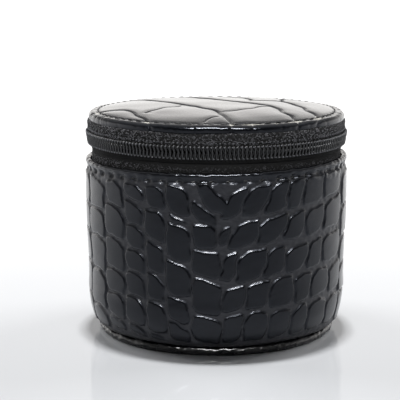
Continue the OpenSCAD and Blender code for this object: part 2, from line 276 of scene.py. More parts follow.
def smooth_curve(points, steps):
    """Curve through the points: each stretch is the cubic that keeps the slope of the line
    between its neighbours, sampled steps times."""
    p = np.asarray(points, float)
    p = np.vstack([2 * p[0] - p[1], p, 2 * p[-1] - p[-2]])
    t = np.linspace(0, 1, steps, endpoint=False)[:, None]
    rows = []
    for a, b, c, d in zip(p[:-3], p[1:-2], p[2:-1], p[3:]):
        square, cube = 2 * a - 5 * b + 4 * c - d, 3 * b - a - 3 * c + d
        rows.append(0.5 * (2 * b + (c - a) * t + square * t**2 + cube * t**3))
    return np.vstack(rows + [p[-2:-1]])


def superellipse(a, power):
    """Unit outline between a circle (2) and a square (large powers), at the angles a."""
    return np.stack([np.sign(f) * np.abs(f) ** (2 / power) for f in (np.cos(a), np.sin(a))], -1)


def arc_points(centre, radius, start, stop, count):
    """Points on a circle about centre, from one angle to another, in degrees."""
    a = np.radians(np.linspace(start, stop, count))
    return np.stack([centre[0] + radius * np.cos(a), centre[1] + radius * np.sin(a)], -1)


def lengths_of(path):
    """Distance along a flat path, at each of its points."""
    return np.concatenate([[0], np.cumsum(np.hypot(*np.diff(path, axis=0).T))])


def evenly(path, spacing):
    """The same path with its points moved to equal distances along it."""
    s = lengths_of(path)
    t = np.linspace(0, s[-1], max(2, int(round(s[-1] / spacing)) + 1))
    return np.stack([np.interp(t, s, path[:, 0]), np.interp(t, s, path[:, 1])], -1)


def normals_of(path, closed=False):
    """Unit normals of a flat path, to the right of its direction."""
    if closed:
        d = np.roll(path, -1, 0) - np.roll(path, 1, 0)
    else:
        d = np.gradient(path, axis=0)
    n = np.stack([d[:, 1], -d[:, 0]], -1)
    return n / np.maximum(np.hypot(*n.T), 1e-9)[:, None]


def full_turn(count):
    """Angles of a number of equal steps round a circle, in degrees."""
    return np.arange(count) * 360.0 / count


def around(radius, height, angles):
    """Points of a surface of revolution: radius and height, rows by angles, turned about Z."""
    a = np.radians(angles)
    return np.stack([radius * np.cos(a), radius * np.sin(a), height + 0 * a], -1)


def spun(local, angles):
    """Points with x outwards and y along the case's round, turned about Z to angles in
    degrees: one angle, or a column of them for that many copies."""
    a = np.radians(angles)
    x, y, z = np.moveaxis(local, -1, 0)
    return np.stack([x * np.cos(a) - y * np.sin(a), x * np.sin(a) + y * np.cos(a), z + 0 * a], -1)


def grid_faces(rows, cols, close_rows, close_cols):
    """Quads of a grid of rows by cols points, and the row and column of each quad's corners,
    counted on past the seam where the grid closes."""
    r, c = np.meshgrid(
        np.arange(rows if close_rows else rows - 1),
        np.arange(cols if close_cols else cols - 1),
        indexing="ij",
    )
    corner_r = np.stack([r, r, r + 1, r + 1], -1).reshape(-1, 4)
    corner_c = np.stack([c, c + 1, c + 1, c], -1).reshape(-1, 4)
    return (corner_r % rows) * cols + corner_c % cols, corner_r, corner_c


def fan(ring, centre):
    """Triangles from each edge of a closed ring of point numbers to one centre point."""
    return np.stack([ring, np.roll(ring, -1), np.full(len(ring), centre)], -1)


def signed_volume(co, faces):
    """Sum of the pyramids from the origin to each face: negative if the faces point inwards."""
    total = 0.0
    for i in range(1, faces.shape[1] - 1):
        a, b, c = co[faces[:, 0]], co[faces[:, i]], co[faces[:, i + 1]]
        total += float(np.einsum("ij,ij->i", a, np.cross(b, c)).sum())
    return total


def make_piece(name, co, face_sets, uv_sets=None, fields=None, keep_facing=False):
    """A mesh object from points in millimetres and arrays of faces, turned to point outwards,
    smooth, with a UV map in millimetres and named point fields."""
    if not keep_facing and sum(signed_volume(co, f) for f in face_sets) < 0:
        face_sets = [f[:, ::-1] for f in face_sets]
        uv_sets = None if uv_sets is None else [t[:, ::-1] for t in uv_sets]
    mesh = bpy.data.meshes.new(name)
    mesh.vertices.add(len(co))
    mesh.vertices.foreach_set("co", (co * MM).astype(np.float32).ravel())
    corners = np.concatenate([f.ravel() for f in face_sets]).astype(np.int32)
    totals = np.concatenate([np.full(len(f), f.shape[1]) for f in face_sets]).astype(np.int32)
    mesh.loops.add(len(corners))
    mesh.loops.foreach_set("vertex_index", corners)
    mesh.polygons.add(len(totals))
    starts = np.concatenate([[0], np.cumsum(totals)[:-1]]).astype(np.int32)
    mesh.polygons.foreach_set("loop_start", starts)
    mesh.polygons.foreach_set("loop_total", totals)
    if uv_sets is not None:
        layer = mesh.uv_layers.new(name="UVMap")
        flat = np.concatenate([t.reshape(-1, 2) for t in uv_sets]).astype(np.float32)
        layer.data.foreach_set("uv", flat.ravel())
    for field, values in (fields or {}).items():
        attribute = mesh.attributes.new(field, "FLOAT", "POINT")
        attribute.data.foreach_set("value", np.asarray(values, np.float32).ravel())
    mesh.update(calc_edges=True)
    mesh.validate()
    mesh.polygons.foreach_set("use_smooth", np.ones(len(mesh.polygons), bool))
    piece = bpy.data.objects.new(name, mesh)
    bpy.context.scene.collection.objects.link(piece)
    return piece


def make_surface(
    name, points, close_rows=False, close_cols=False, uv=None, fields=None, caps=()
):
    """A piece from a grid of points, rows by columns. caps names which end rows ("first",
    "last") are closed to a point at their middle. uv gives (u, v) for each row and column."""
    rows, cols = points.shape[:2]
    quads, corner_r, corner_c = grid_faces(rows, cols, close_rows, close_cols)
    co = points.reshape(-1, 3)
    face_sets, uv_sets = [quads], None
    if uv is not None:
        u, v = uv
        u_all = np.append(u, 2 * u[-1] - u[-2])
        v_all = np.append(v, 2 * v[-1] - v[-2])
        uv_sets = [np.stack([u_all[corner_c], v_all[corner_r]], -1)]
    fields = {k: np.asarray(f, float).ravel() for k, f in (fields or {}).items()}
    for cap in caps:
        ring = np.arange(cols) if cap == "first" else np.arange(cols) + (rows - 1) * cols
        tri = fan(ring, len(co))
        tri = tri[:, ::-1] if cap == "first" else tri
        co = np.vstack([co, co[ring].mean(0)])
        fields = {k: np.append(f, f[ring].mean()) for k, f in fields.items()}
        face_sets.append(tri)
        if uv_sets is not None:
            spot = v[0] if cap == "first" else v[-1]
            uv_sets.append(np.stack([u_all[tri % cols], np.full(tri.shape, spot)], -1))
    return make_piece(name, co, face_sets, uv_sets, fields)


def ring_surface(name, section, angles, bump, full=False):
    """A closed section (radius, height) carried round Z. bump(section length, arc) moves each
    point along the section's normal. A part ring gets flat ends."""
    n = normals_of(section, closed=True)
    s = lengths_of(section)
    arc = np.radians(angles - FRONT) * RIM_R
    push = bump(s[:, None], arc[None, :])
    radius = section[:, :1] + n[:, :1] * push
    height = section[:, 1:] + n[:, 1:] * push
    points = around(radius, height, angles[None, :])
    if full:
        return make_surface(name, points, True, True, (arc, s))
    rows, cols = points.shape[:2]
    quads, corner_r, corner_c = grid_faces(rows, cols, True, False)
    s_all = np.append(s, s[-1] + np.hypot(*(section[0] - section[-1])))
    uv_sets = [np.stack([arc[corner_c], s_all[corner_r]], -1)]
    co = points.reshape(-1, 3)
    face_sets = [quads]
    for end in (0, cols - 1):
        ring = np.arange(rows) * cols + end
        tri = fan(ring, len(co))
        face_sets.append(tri if end == 0 else tri[:, ::-1])
        co = np.vstack([co, co[ring].mean(0)])
        uv_sets.append(np.broadcast_to([arc[end], 0.0], tri.shape + (2,)))
    return make_piece(name, co, face_sets, uv_sets)


def tube_along(centre, across, up, radius, sides):
    """Points of a round tube: a circle of some sides about each centre point, in the plane of
    the unit vectors across and up. radius holds one value for each centre point."""
    a = np.linspace(0, 2 * np.pi, sides, endpoint=False)
    circle = np.cos(a)[:, None, None] * across + np.sin(a)[:, None, None] * up
    return (centre[None] + radius[:, None] * circle).transpose(1, 0, 2)


def repeated(name, local, angles, lift=None):
    """A small closed shape repeated round Z at these angles: local holds its rings of points,
    with x outwards and y along the round. lift gives each point's rise from all of them."""
    rings, sides = local.shape[:2]
    quads, _, _ = grid_faces(rings, sides, False, True)
    first, last = np.arange(sides)[::-1], np.arange(sides) + (rings - 1) * sides
    co = spun(local.reshape(-1, 3), angles[:, None]).reshape(-1, 3)
    if lift is not None:
        co[:, 2] += lift(co)
    step = np.arange(len(angles))[:, None, None] * rings * sides
    face_sets = [
        (faces[None] + step).reshape(-1, faces.shape[1])
        for faces in (quads, first[None, :], last[None, :])
    ]
    return make_piece(name, co, face_sets)


# ---------------------------------------------------------------------------------------------
# Materials. Patterns are given in repeats per millimetre, and bumps in millimetres.


def linear(hex_colour):
    """sRGB hex colour as linear RGBA."""
    c = np.array([int(hex_colour[i : i + 2], 16) for i in (1, 3, 5)]) / 255
    lin = np.where(c <= 0.04045, c / 12.92, ((c + 0.055) / 1.055) ** 2.4)
    return (*map(float, lin), 1.0)


def toned(colour, factor):
    """A linear colour made darker or lighter by a factor."""
    return (*(min(1.0, c * factor) for c in colour[:3]), 1.0)


def grey(value):
    """A value between 0 and 1 as RGBA, for masks."""
    return (value, value, value, 1.0)


def add_node(tree, kind, inputs=None, stops=(), feeds=None, **settings):
    """Adds a node with its settings. inputs are values, or sockets to link from. stops are the
    (place, linear colour) pairs of a ramp. feeds is a socket for its first output."""
    made = tree.nodes.new(kind)
    for key, value in settings.items():
        setattr(made, key, value)
    for key, value in (inputs or {}).items():
        if isinstance(value, bpy.types.NodeSocket):
            tree.links.new(value, made.inputs[key])
        else:
            made.inputs[key].default_value = value
    if stops:
        elements = made.color_ramp.elements
        while len(elements) < len(stops):
            elements.new(0.5)
        for element, (place, colour) in zip(elements, stops):
            element.position = place
            element.color = colour
    if feeds is not None:
        tree.links.new(made.outputs[0], feeds)
    return made


def new_material(name, constants=None):
    """A node material whose Principled shader has these constants. Gives the material, its
    tree, the shader's inputs and the outputs of a Texture Coordinate node."""
    material = bpy.data.materials.new(name)
    material.use_nodes = True
    tree = material.node_tree
    surface = tree.nodes["Principled BSDF"].inputs
    for key, value in (constants or {}).items():
        surface[key].default_value = value
    return material, tree, surface, add_node(tree, "ShaderNodeTexCoord").outputs


def embossed_leather():
    """Embossed, glazed leather: the glaze mirrors the room on the scales. Beside the valleys the
    colour is paler, partly thin, worn glaze and partly a painted highlight of the scales' shoulders.
    Stitch holes are painted dark as shade, and fine creases cross the scales."""
    props = bpy.context.scene.case_leather
    material, tree, surface, coord = new_material(
        "glazed_embossed_leather",
        {
            "Specular IOR Level": 0.26,
            "Specular Tint": linear("#eaf0ff"),
            "Coat Weight": 0.15,
            "Coat Roughness": 0.08,
        },
    )
    relief = add_node(tree, "ShaderNodeAttribute", attribute_name="relief").outputs["Fac"]
    # Pores of about 0.35 mm, drawn coarse enough to show.
    grain = add_node(
        tree,
        "ShaderNodeTexNoise",
        {"Vector": coord["Object"], "Scale": 1.4 / MM, "Detail": 3.0, "Roughness": 0.6},
    ).outputs["Fac"]
    # Creases about 4 mm long that lie level, less than a millimetre apart.
    stretch = add_node(
        tree,
        "ShaderNodeMapping",
        {"Vector": coord["Object"], "Scale": (0.26 / MM, 0.26 / MM, 1.3 / MM)},
    )
    creases = add_node(
        tree,
        "ShaderNodeTexNoise",
        {"Vector": stretch.outputs["Vector"], "Scale": 1.0, "Detail": 4.0, "Roughness": 0.65},
    ).outputs["Fac"]
    # Clouds of dye about 11 mm across.
    patches = add_node(
        tree, "ShaderNodeTexNoise", {"Vector": coord["Object"], "Scale": 0.09 / MM, "Detail": 2.0}
    )
    base = linear(props.colour)
    tone = add_node(
        tree,
        "ShaderNodeValToRGB",
        {"Fac": patches.outputs["Fac"]},
        stops=[(0.3, base), (0.75, toned(base, 1.7))],
    )
    # Low end of the relief field: stitch holes painted dark as shade. From HOLE_SHARE up, valleys
    # take the paler colour of wear and painted highlight.
    edge = add_node(
        tree,
        "ShaderNodeValToRGB",
        {"Fac": relief},
        stops=[(0.04, toned(base, 0.35)), (HOLE_SHARE, linear(props.worn_and_painted_highlight_colour))],
    )
    ragged = add_node(
        tree, "ShaderNodeMath", {0: creases, 1: 0.5, 2: relief}, operation="MULTIPLY_ADD"
    )
    plate = add_node(
        tree,
        "ShaderNodeMapRange",
        {"Value": ragged.outputs["Value"], "From Min": 0.4, "From Max": 0.7},
    )
    tint = add_node(
        tree,
        "ShaderNodeMix",
        {"Factor": plate.outputs["Result"], 6: edge.outputs["Color"], 7: tone.outputs["Color"]},
        data_type="RGBA",
    )
    tree.links.new(tint.outputs[2], surface["Base Color"])
    rough = add_node(
        tree,
        "ShaderNodeMapRange",
        {"Value": relief, "From Min": 0.3, "From Max": 1.0, "To Min": 0.4, "To Max": 0.13},
    )
    add_node(
        tree,
        "ShaderNodeMath",
        {0: grain, 1: 0.07, 2: rough.outputs["Result"]},
        feeds=surface["Roughness"],
        operation="MULTIPLY_ADD",
    )
    fine = add_node(
        tree, "ShaderNodeBump", {"Height": grain, "Strength": 0.06, "Distance": 0.2 * MM}
    )
    add_node(
        tree,
        "ShaderNodeBump",
        {
            "Height": creases,
            "Strength": 0.05,
            "Distance": 0.2 * MM,
            "Normal": fine.outputs["Normal"],
        },
        feeds=surface["Normal"],
    )
    return material


def smooth_leather():
    """Glazed leather without emboss, for the base and the hinge: fine pores, worn patches and a
    soft gloss."""
    props = bpy.context.scene.case_leather
    material, tree, surface, coord = new_material(
        "glazed_smooth_leather",
        {"Specular IOR Level": 0.36, "Coat Weight": 0.15, "Coat Roughness": 0.1},
    )
    # Pores about 1 mm apart, and worn patches of about 8 mm.
    pores = add_node(
        tree,
        "ShaderNodeTexVoronoi",
        {"Vector": coord["Object"], "Scale": 0.9 / MM},
        feature="SMOOTH_F1",
    )
    patches = add_node(
        tree, "ShaderNodeTexNoise", {"Vector": coord["Object"], "Scale": 0.12 / MM, "Detail": 3.0}
    ).outputs["Fac"]
    add_node(
        tree,
        "ShaderNodeValToRGB",
        {"Fac": patches},
        stops=[(0.35, linear(props.colour)), (0.75, linear(props.worn_and_painted_highlight_colour))],
        feeds=surface["Base Color"],
    )
    add_node(
        tree,
        "ShaderNodeMapRange",
        {"Value": patches, "To Min": 0.22, "To Max": 0.34},
        feeds=surface["Roughness"],
    )
    add_node(
        tree,
        "ShaderNodeBump",
        {"Height": pores.outputs["Distance"], "Strength": 0.15, "Distance": 0.3 * MM},
        feeds=surface["Normal"],
    )
    return material


def woven_tape():
    """Woven polyester zip tape: staggered picks, some of which are painted pale as highlights where
    threads catch the light, with the gaps between picks painted darker as shade.
    Its threads are about 0.3 mm; the picks are drawn 0.4 mm apart so that they show."""
    props = bpy.context.scene.case_zip
    material, tree, surface, coord = new_material(
        "woven_polyester_tape", {"Roughness": 0.75, "Specular IOR Level": 0.15}
    )
    bend = add_node(
        tree, "ShaderNodeTexNoise", {"Vector": coord["UV"], "Scale": 0.9, "Detail": 1.0}
    )
    bent = add_node(
        tree,
        "ShaderNodeVectorMath",
        {0: bend.outputs["Color"], 1: (0.3, 0.16, 0.0), 2: coord["UV"]},
        operation="MULTIPLY_ADD",
    )
    weave = add_node(
        tree,
        "ShaderNodeTexBrick",
        {
            "Vector": bent.outputs["Vector"],
            "Color1": grey(0.0),
            "Color2": grey(1.0),
            "Mortar": grey(0.0),
            "Scale": 1.0,
            "Mortar Size": 0.09,
            "Mortar Smooth": 0.8,
            "Brick Width": 0.62,
            "Row Height": 0.4,
        },
    )
    # Beside the chain and under it fewer painted highlights are kept, and the tape is painted darker
    # there: painted shade under the chain's overhang.
    low, high = RIM_TOP - 2.0, LID_LOW
    highlight_share_by_height = [
        (RIM_TOP + 1.2, 0.9),
        (RIM_TOP + 2.4, 0.3),
        (CHAIN_Z - 2.6, 0.25),
        (CHAIN_Z - 2.3, 0.05),
        (CHAIN_Z + 2.2, 0.05),
        (CHAIN_Z + 2.7, 1.0),
    ]
    level = add_node(tree, "ShaderNodeSeparateXYZ", {"Vector": coord["Object"]})
    place = add_node(
        tree,
        "ShaderNodeMapRange",
        {"Value": level.outputs["Z"], "From Min": low * MM, "From Max": high * MM},
    )
    painted_shade = add_node(
        tree,
        "ShaderNodeValToRGB",
        {"Fac": place.outputs["Result"]},
        stops=[((z - low) / (high - low), grey(value)) for z, value in highlight_share_by_height],
    )
    painted_highlights = add_node(
        tree,
        "ShaderNodeMath",
        {0: weave.outputs["Color"], 1: painted_shade.outputs["Color"]},
        operation="MULTIPLY",
    )
    # Pale picks are painted highlights. The dark end of the ramp paints shade between the picks and
    # under the chain.
    base = linear(props.tape_colour)
    add_node(
        tree,
        "ShaderNodeValToRGB",
        {"Fac": painted_highlights.outputs["Value"]},
        stops=[(0.0, toned(base, 0.45)), (0.3, base), (0.6, toned(base, 11.0)),
               (0.95, toned(base, 42.0))],
        feeds=surface["Base Color"],
    )
    add_node(
        tree,
        "ShaderNodeBump",
        {"Height": weave.outputs["Fac"], "Strength": 0.6, "Distance": 0.2 * MM},
        feeds=surface["Normal"],
        invert=True,
    )
    return material


def nylon():
    """Dyed nylon filament: smooth, with a soft moulded gloss and faint drawn streaks."""
    props = bpy.context.scene.case_zip
    material, tree, surface, coord = new_material("dyed_nylon_filament", {"IOR": 1.53})
    # Streaks of about 0.5 mm.
    streaks = add_node(
        tree, "ShaderNodeTexNoise", {"Vector": coord["Object"], "Scale": 1.8 / MM, "Detail": 2.0}
    ).outputs["Fac"]
    base = linear(props.coil_colour)
    add_node(
        tree,
        "ShaderNodeValToRGB",
        {"Fac": streaks},
        stops=[(0.35, base), (0.7, toned(base, 1.6))],
        feeds=surface["Base Color"],
    )
    add_node(
        tree,
        "ShaderNodeMapRange",
        {"Value": streaks, "To Min": 0.28, "To Max": 0.45},
        feeds=surface["Roughness"],
    )
    return material


def sewing_thread(name, hex_colour):
    """Twisted polyester sewing thread: small slanting plies with a low sheen."""
    material, tree, surface, coord = new_material(name, {"Roughness": 0.5})
    plies = add_node(
        tree,
        "ShaderNodeTexWave",
        {"Vector": coord["Object"], "Scale": 0.5 / MM, "Distortion": 1.0},
        bands_direction="DIAGONAL",
    ).outputs["Fac"]
    base = linear(hex_colour)
    add_node(
        tree,
        "ShaderNodeValToRGB",
        {"Fac": plies},
        stops=[(0.2, base), (0.9, toned(base, 2.2))],
        feeds=surface["Base Color"],
    )
    add_node(
        tree,
        "ShaderNodeBump",
        {"Height": plies, "Strength": 0.4, "Distance": 0.2 * MM},
        feeds=surface["Normal"],
    )
    return material


def velvet():
    """Short-pile velvet: dark face on, paler at grazing angles, with brushed patches."""
    props = bpy.context.scene.case_lining
    material, tree, surface, coord = new_material(
        "short_pile_velvet",
        {
            "Roughness": 0.9,
            "Sheen Weight": 0.8,
            "Sheen Roughness": 0.35,
            "Sheen Tint": linear("#8a8790"),
        },
    )
    # Tufts of about 0.4 mm, drawn coarser than real pile, and brushed patches of about 15 mm.
    pile = add_node(
        tree, "ShaderNodeTexNoise", {"Vector": coord["Object"], "Scale": 2.2 / MM, "Detail": 2.0}
    )
    brushed = add_node(
        tree,
        "ShaderNodeTexNoise",
        {"Vector": coord["Object"], "Scale": 0.06 / MM, "Detail": 3.0, "Distortion": 0.6},
    )
    base = linear(props.colour)
    add_node(
        tree,
        "ShaderNodeValToRGB",
        {"Fac": brushed.outputs["Fac"]},
        stops=[(0.3, toned(base, 0.6)), (0.5, base), (0.7, toned(base, 2.0))],
        feeds=surface["Base Color"],
    )
    add_node(
        tree,
        "ShaderNodeBump",
        {"Height": pile.outputs["Fac"], "Strength": 0.5, "Distance": 0.3 * MM},
        feeds=surface["Normal"],
    )
    return material


def paperboard():
    """Grey-brown paperboard: flecked with fibres of about a millimetre, quite dull."""
    material, tree, surface, coord = new_material("grey_brown_paperboard", {"Roughness": 0.85})
    fibres = add_node(
        tree,
        "ShaderNodeTexNoise",
        {"Vector": coord["Object"], "Scale": 0.7 / MM, "Detail": 5.0, "Roughness": 0.7},
    ).outputs["Fac"]
    add_node(
        tree,
        "ShaderNodeValToRGB",
        {"Fac": fibres},
        stops=[(0.3, linear("#6f604b")), (0.6, linear("#9a886c"))],
        feeds=surface["Base Color"],
    )
    add_node(
        tree,
        "ShaderNodeBump",
        {"Height": fibres, "Strength": 0.3, "Distance": 0.2 * MM},
        feeds=surface["Normal"],
    )
    return material


def wadding():
    """Thin polyester wadding: white, matted and cloudy, in clumps of about 2.5 mm."""
    material, tree, surface, coord = new_material("polyester_wadding", {"Roughness": 0.95})
    clumps = add_node(
        tree, "ShaderNodeTexNoise", {"Vector": coord["Object"], "Scale": 0.4 / MM, "Detail": 4.0}
    )
    add_node(
        tree,
        "ShaderNodeValToRGB",
        {"Fac": clumps.outputs["Fac"]},
        stops=[(0.3, linear("#bdb9b1")), (0.7, linear("#e4e1da"))],
        feeds=surface["Base Color"],
    )
    return material


def black_enamel():
    """Baked black enamel on die-cast zinc: glossy, with orange-peel of about 1 mm whose noise also
    varies its colour and gloss."""
    material, tree, surface, coord = new_material(
        "baked_black_enamel", {"Coat Weight": 0.4, "Coat Roughness": 0.08}
    )
    peel = add_node(
        tree, "ShaderNodeTexNoise", {"Vector": coord["Object"], "Scale": 0.9 / MM, "Detail": 2.0}
    ).outputs["Fac"]
    add_node(
        tree,
        "ShaderNodeValToRGB",
        {"Fac": peel},
        stops=[(0.35, linear("#121214")), (0.8, linear("#232326"))],
        feeds=surface["Base Color"],
    )
    add_node(
        tree,
        "ShaderNodeMapRange",
        {"Value": peel, "To Min": 0.18, "To Max": 0.34},
        feeds=surface["Roughness"],
    )
    add_node(
        tree,
        "ShaderNodeBump",
        {"Height": peel, "Strength": 0.15, "Distance": 0.1 * MM},
        feeds=surface["Normal"],
    )
    return material


def white_laminate():
    """Glossy white laminate of the table: it mirrors softly, a little hazier in places."""
    props = bpy.context.scene.case_stage
    material, tree, surface, coord = new_material(
        "glossy_white_laminate", {"Base Color": linear(props.table_colour)}
    )
    haze = add_node(
        tree, "ShaderNodeTexNoise", {"Vector": coord["Object"], "Scale": 0.006 / MM, "Detail": 2.0}
    )
    add_node(
        tree,
        "ShaderNodeMapRange",
        {"Value": haze.outputs["Fac"], "To Min": 0.03, "To Max": 0.07},
        feeds=surface["Roughness"],
    )
    return material


MAKERS = {
    "embossed_leather": embossed_leather,
    "smooth_leather": smooth_leather,
    "board": paperboard,
    "velvet": velvet,
    "wadding": wadding,
    "zip_tape": woven_tape,
    "nylon_coil": nylon,
    "thread": lambda: sewing_thread("twisted_sewing_thread", "#0a0a0b"),
    "coil_thread": lambda: sewing_thread("coil_sewing_thread", "#56575c"),
    "black_metal": black_enamel,
    "laminate": white_laminate,
}
made_materials = {}


def finish_with(slot):
    """The finish of this name, made the first time it is asked for."""
    if slot not in made_materials:
        made_materials[slot] = MAKERS[slot]()
    return made_materials[slot]


def settle(piece, body, slot, *stands_for, finish=None):
    """Gives a piece its finish and its material slot, lets it ride on a body, and hides the
    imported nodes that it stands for."""
    piece.data.materials.append(finish_with(finish or slot))
    if body is not None:
        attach(piece, body)
    if stands_for:
        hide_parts(*stands_for)
    return piece


# ---------------------------------------------------------------------------------------------
# The scale pattern of the wall: u runs round the case from the middle of the front, to the
# right, and z up, both in millimetres.

# Left of the middle the scales stand in columns: left and right edge, slope of their top and
# bottom edges, and the heights where one scale ends and the next begins.
COLUMNS = [
    (-61.5, -47.9, -0.05, (63.0, 50.0, 40.0, 26.8, 12.8, 6.0)),
    (-47.9, -36.4, -0.12, (63.0, 53.2, 40.8, 29.5, 20.4, 10.8, 6.0)),
    (-36.4, -27.2, -0.16, (63.0, 56.4, 47.6, 38.2, 29.6, 20.4, 10.0, 5.5)),
    (-27.2, -18.7, -0.2, (63.0, 53.6, 42.0, 30.2, 20.0, 8.2, 4.6)),
    (-18.7, -9.4, -0.26, (63.0, 52.4, 49.2, 35.6, 22.4, 12.8, 5.0)),
]
# In the middle, single scales: left, right, bottom, top, lean and slope.
MIDDLE = [
    (-5.6, 2.2, 53.6, 63.0, -0.42, -0.5),
    (-9.4, -0.2, 49.4, 56.6, 0.0, -0.62),
    (-9.4, 0.0, 40.4, 49.2, 0.0, -0.05),
    (-9.4, 1.4, 29.8, 40.0, 0.0, -0.1),
    (-9.4, 2.0, 16.6, 29.2, 0.0, -0.14),
    (-9.2, 1.8, 5.2, 16.2, 0.0, -0.14),
    (0.2, 4.8, 40.6, 48.8, 0.1, 0.1),
    (1.5, 7.2, 28.6, 39.2, 0.25, 0.1),
    (2.3, 9.4, 17.2, 27.8, 0.18, 0.1),
    (2.0, 9.0, 5.2, 16.8, 0.1, 0.1),
]
# Right of the middle they stand in rows: bottom, top, slope, lean at the left and at the right
# end, and where one scale ends and the next begins.
ROWS = [
    (50.5, 62.6, 0.1, 0.42, 0.02, (2.4, 9.8, 18.0, 25.6, 33.6, 43.2, 56.0)),
    (39.8, 50.4, 0.09, 0.34, 0.06, (5.0, 14.0, 25.3, 34.0, 44.4, 57.4)),
    (28.5, 39.7, 0.06, 0.26, 0.06, (7.4, 17.0, 26.0, 34.5, 44.3, 57.4)),
    (17.3, 28.4, 0.04, 0.14, 0.02, (9.6, 19.3, 29.0, 37.8, 48.0, 60.0)),
    (5.6, 17.2, 0.02, 0.04, 0.0, (9.2, 19.0, 28.0, 36.4, 46.5, 58.6)),
]


def scale_list():
    """Every scale of the wall as (left, right, bottom, top, lean, slope, cut). A cut above 0
    slants the upper left and lower right corner, one below 0 the other two, by that many
    millimetres. Behind, columns of like width follow one another by seeded chance."""
    found = []
    for left, right, slope, heights in COLUMNS:
        for top, bottom in zip(heights, heights[1:]):
            found.append((left, right, bottom, top, 0.0, slope, -1.7))
    for left, right, bottom, top, lean, slope in MIDDLE:
        found.append((left, right, bottom, top, lean, slope, -1.2 if left < 0 else 1.2))
    for bottom, top, slope, lean_a, lean_b, edges in ROWS:
        for i, (left, right) in enumerate(zip(edges, edges[1:])):
            lean = lean_a + (lean_b - lean_a) * i / (len(edges) - 2)
            rise = slope * ((left + right) / 2 - edges[0])
            found.append((left, right, bottom + rise, top + rise, lean, slope, 1.7))
    rng = np.random.default_rng(7)
    left, end = 58.8, 2 * np.pi * WALL_R - 61.5
    while left < end - 4:
        right = min(left + rng.uniform(9.0, 12.5), end)
        right = end if end - right < 5 else right
        cut = 1.8 if left < np.pi * WALL_R else -1.8
        top = 62.8
        while top > 9:
            bottom = max(top - rng.uniform(9.5, 13.0), 5.0)
            bottom = 5.0 if bottom < 9 else bottom
            found.append((left, right, bottom, top, 0.0, 0.04 * np.sign(cut), cut))
            top = bottom
        left = right
    return found


# Directions across the slanting cuts of a scale's upper and lower corner.
UPPER_CUT, LOWER_CUT = (0.5, 0.866), (0.77, 0.64)


def scale_height(u, z, scale, leather):
    """Height of one scale over the valley floor. Its outline is a box, sheared by its lean and
    slope, with two opposite corners cut off on a slant; the distance in from the outline is a
    smooth minimum of the distances from all six edges. The height is a smooth step of that
    distance over the shoulder, and domes a little further in."""
    left, right, bottom, top, lean, slope, cut = scale
    mid_u, mid_z = (left + right) / 2, (bottom + top) / 2
    x = u - lean * (z - mid_z) - mid_u
    y = z - slope * (u - mid_u) - mid_z
    half_w = (right - left - leather["gap"]) / 2
    half_h = (top - bottom - leather["gap"]) / 2
    turn = math.copysign(1.0, cut)
    cut = min(abs(cut), 0.45 * half_w)
    edges = [x - half_w, -x - half_w, y - half_h, -y - half_h]
    for side, (along, up), share in ((-1, UPPER_CUT, 1.0), (1, LOWER_CUT, 0.7)):
        reach = along * half_w + up * half_h - share * cut
        edges.append(side * along * turn * x - side * up * y - reach)
    soft = 0.7
    inward = -soft * np.log(sum(np.exp(np.clip(edge / soft, -40, 40)) for edge in edges))
    rise = smoothstep(0.0, leather["shoulder"], inward)
    dome = 1 - np.exp(-np.maximum(inward, 0) / 3.0)
    return leather["depth"] * rise * (0.85 + 0.15 * dome)


def wall_relief(u, z):
    """Relief of the wall, in millimetres from the unembossed surface, and the share of it that
    is scale, over a grid of places u (along columns) and z (along rows)."""
    props = bpy.context.scene.case_leather
    leather = {
        "depth": props.valley_depth / MM,
        "gap": props.valley_width / MM,
        "shoulder": props.shoulder / MM,
    }
    uu, zz = np.meshgrid(u, z)
    # Outlines wander by half a millimetre over long ways and quiver a little over short ones.
    bent_u = uu + 0.55 * wander(uu, zz, 3) + 0.13 * wander(uu, zz, 4, 5.0, 2.5)
    bent_z = zz + 0.5 * wander(uu, zz, 5) + 0.13 * wander(uu, zz, 6, 5.0, 2.5)
    height = np.zeros_like(uu)
    turn = 2 * np.pi * WALL_R
    reach = 5.0
    for index, scale in enumerate(scale_list()):
        left, right, bottom, top = scale[:4]
        rows = np.flatnonzero((z > bottom - reach) & (z < top + reach))
        for shift in (-turn, 0.0, turn):
            cols = np.flatnonzero((u + shift > left - reach) & (u + shift < right + reach))
            if not len(rows) or not len(cols):
                continue
            part = np.ix_(rows, cols)
            raised = scale_height(bent_u[part] + shift, bent_z[part], scale, leather)
            lift = 1 + 0.12 * math.sin(index * 2.4)
            height[part] = np.maximum(height[part], raised * lift)
    share = np.clip(height / leather["depth"], 0, 1)
    # Fine creases: long flat ones over the scales, short crumples beside the valleys and in
    # them.
    near = np.exp(-(((share - 0.5) / 0.2) ** 2))
    creases = 0.012 * wander(uu, zz * 2.0, 8, 14.0, 5.0) * share
    creases += 0.1 * wander(uu, zz, 9, 2.6, 1.2) * near
    creases += 0.06 * wander(uu, zz, 10, 4.0, 1.5) * (1 - share) ** 2
    return height - 0.4 * leather["depth"] + creases, share


# ---------------------------------------------------------------------------------------------
# Leather of the case


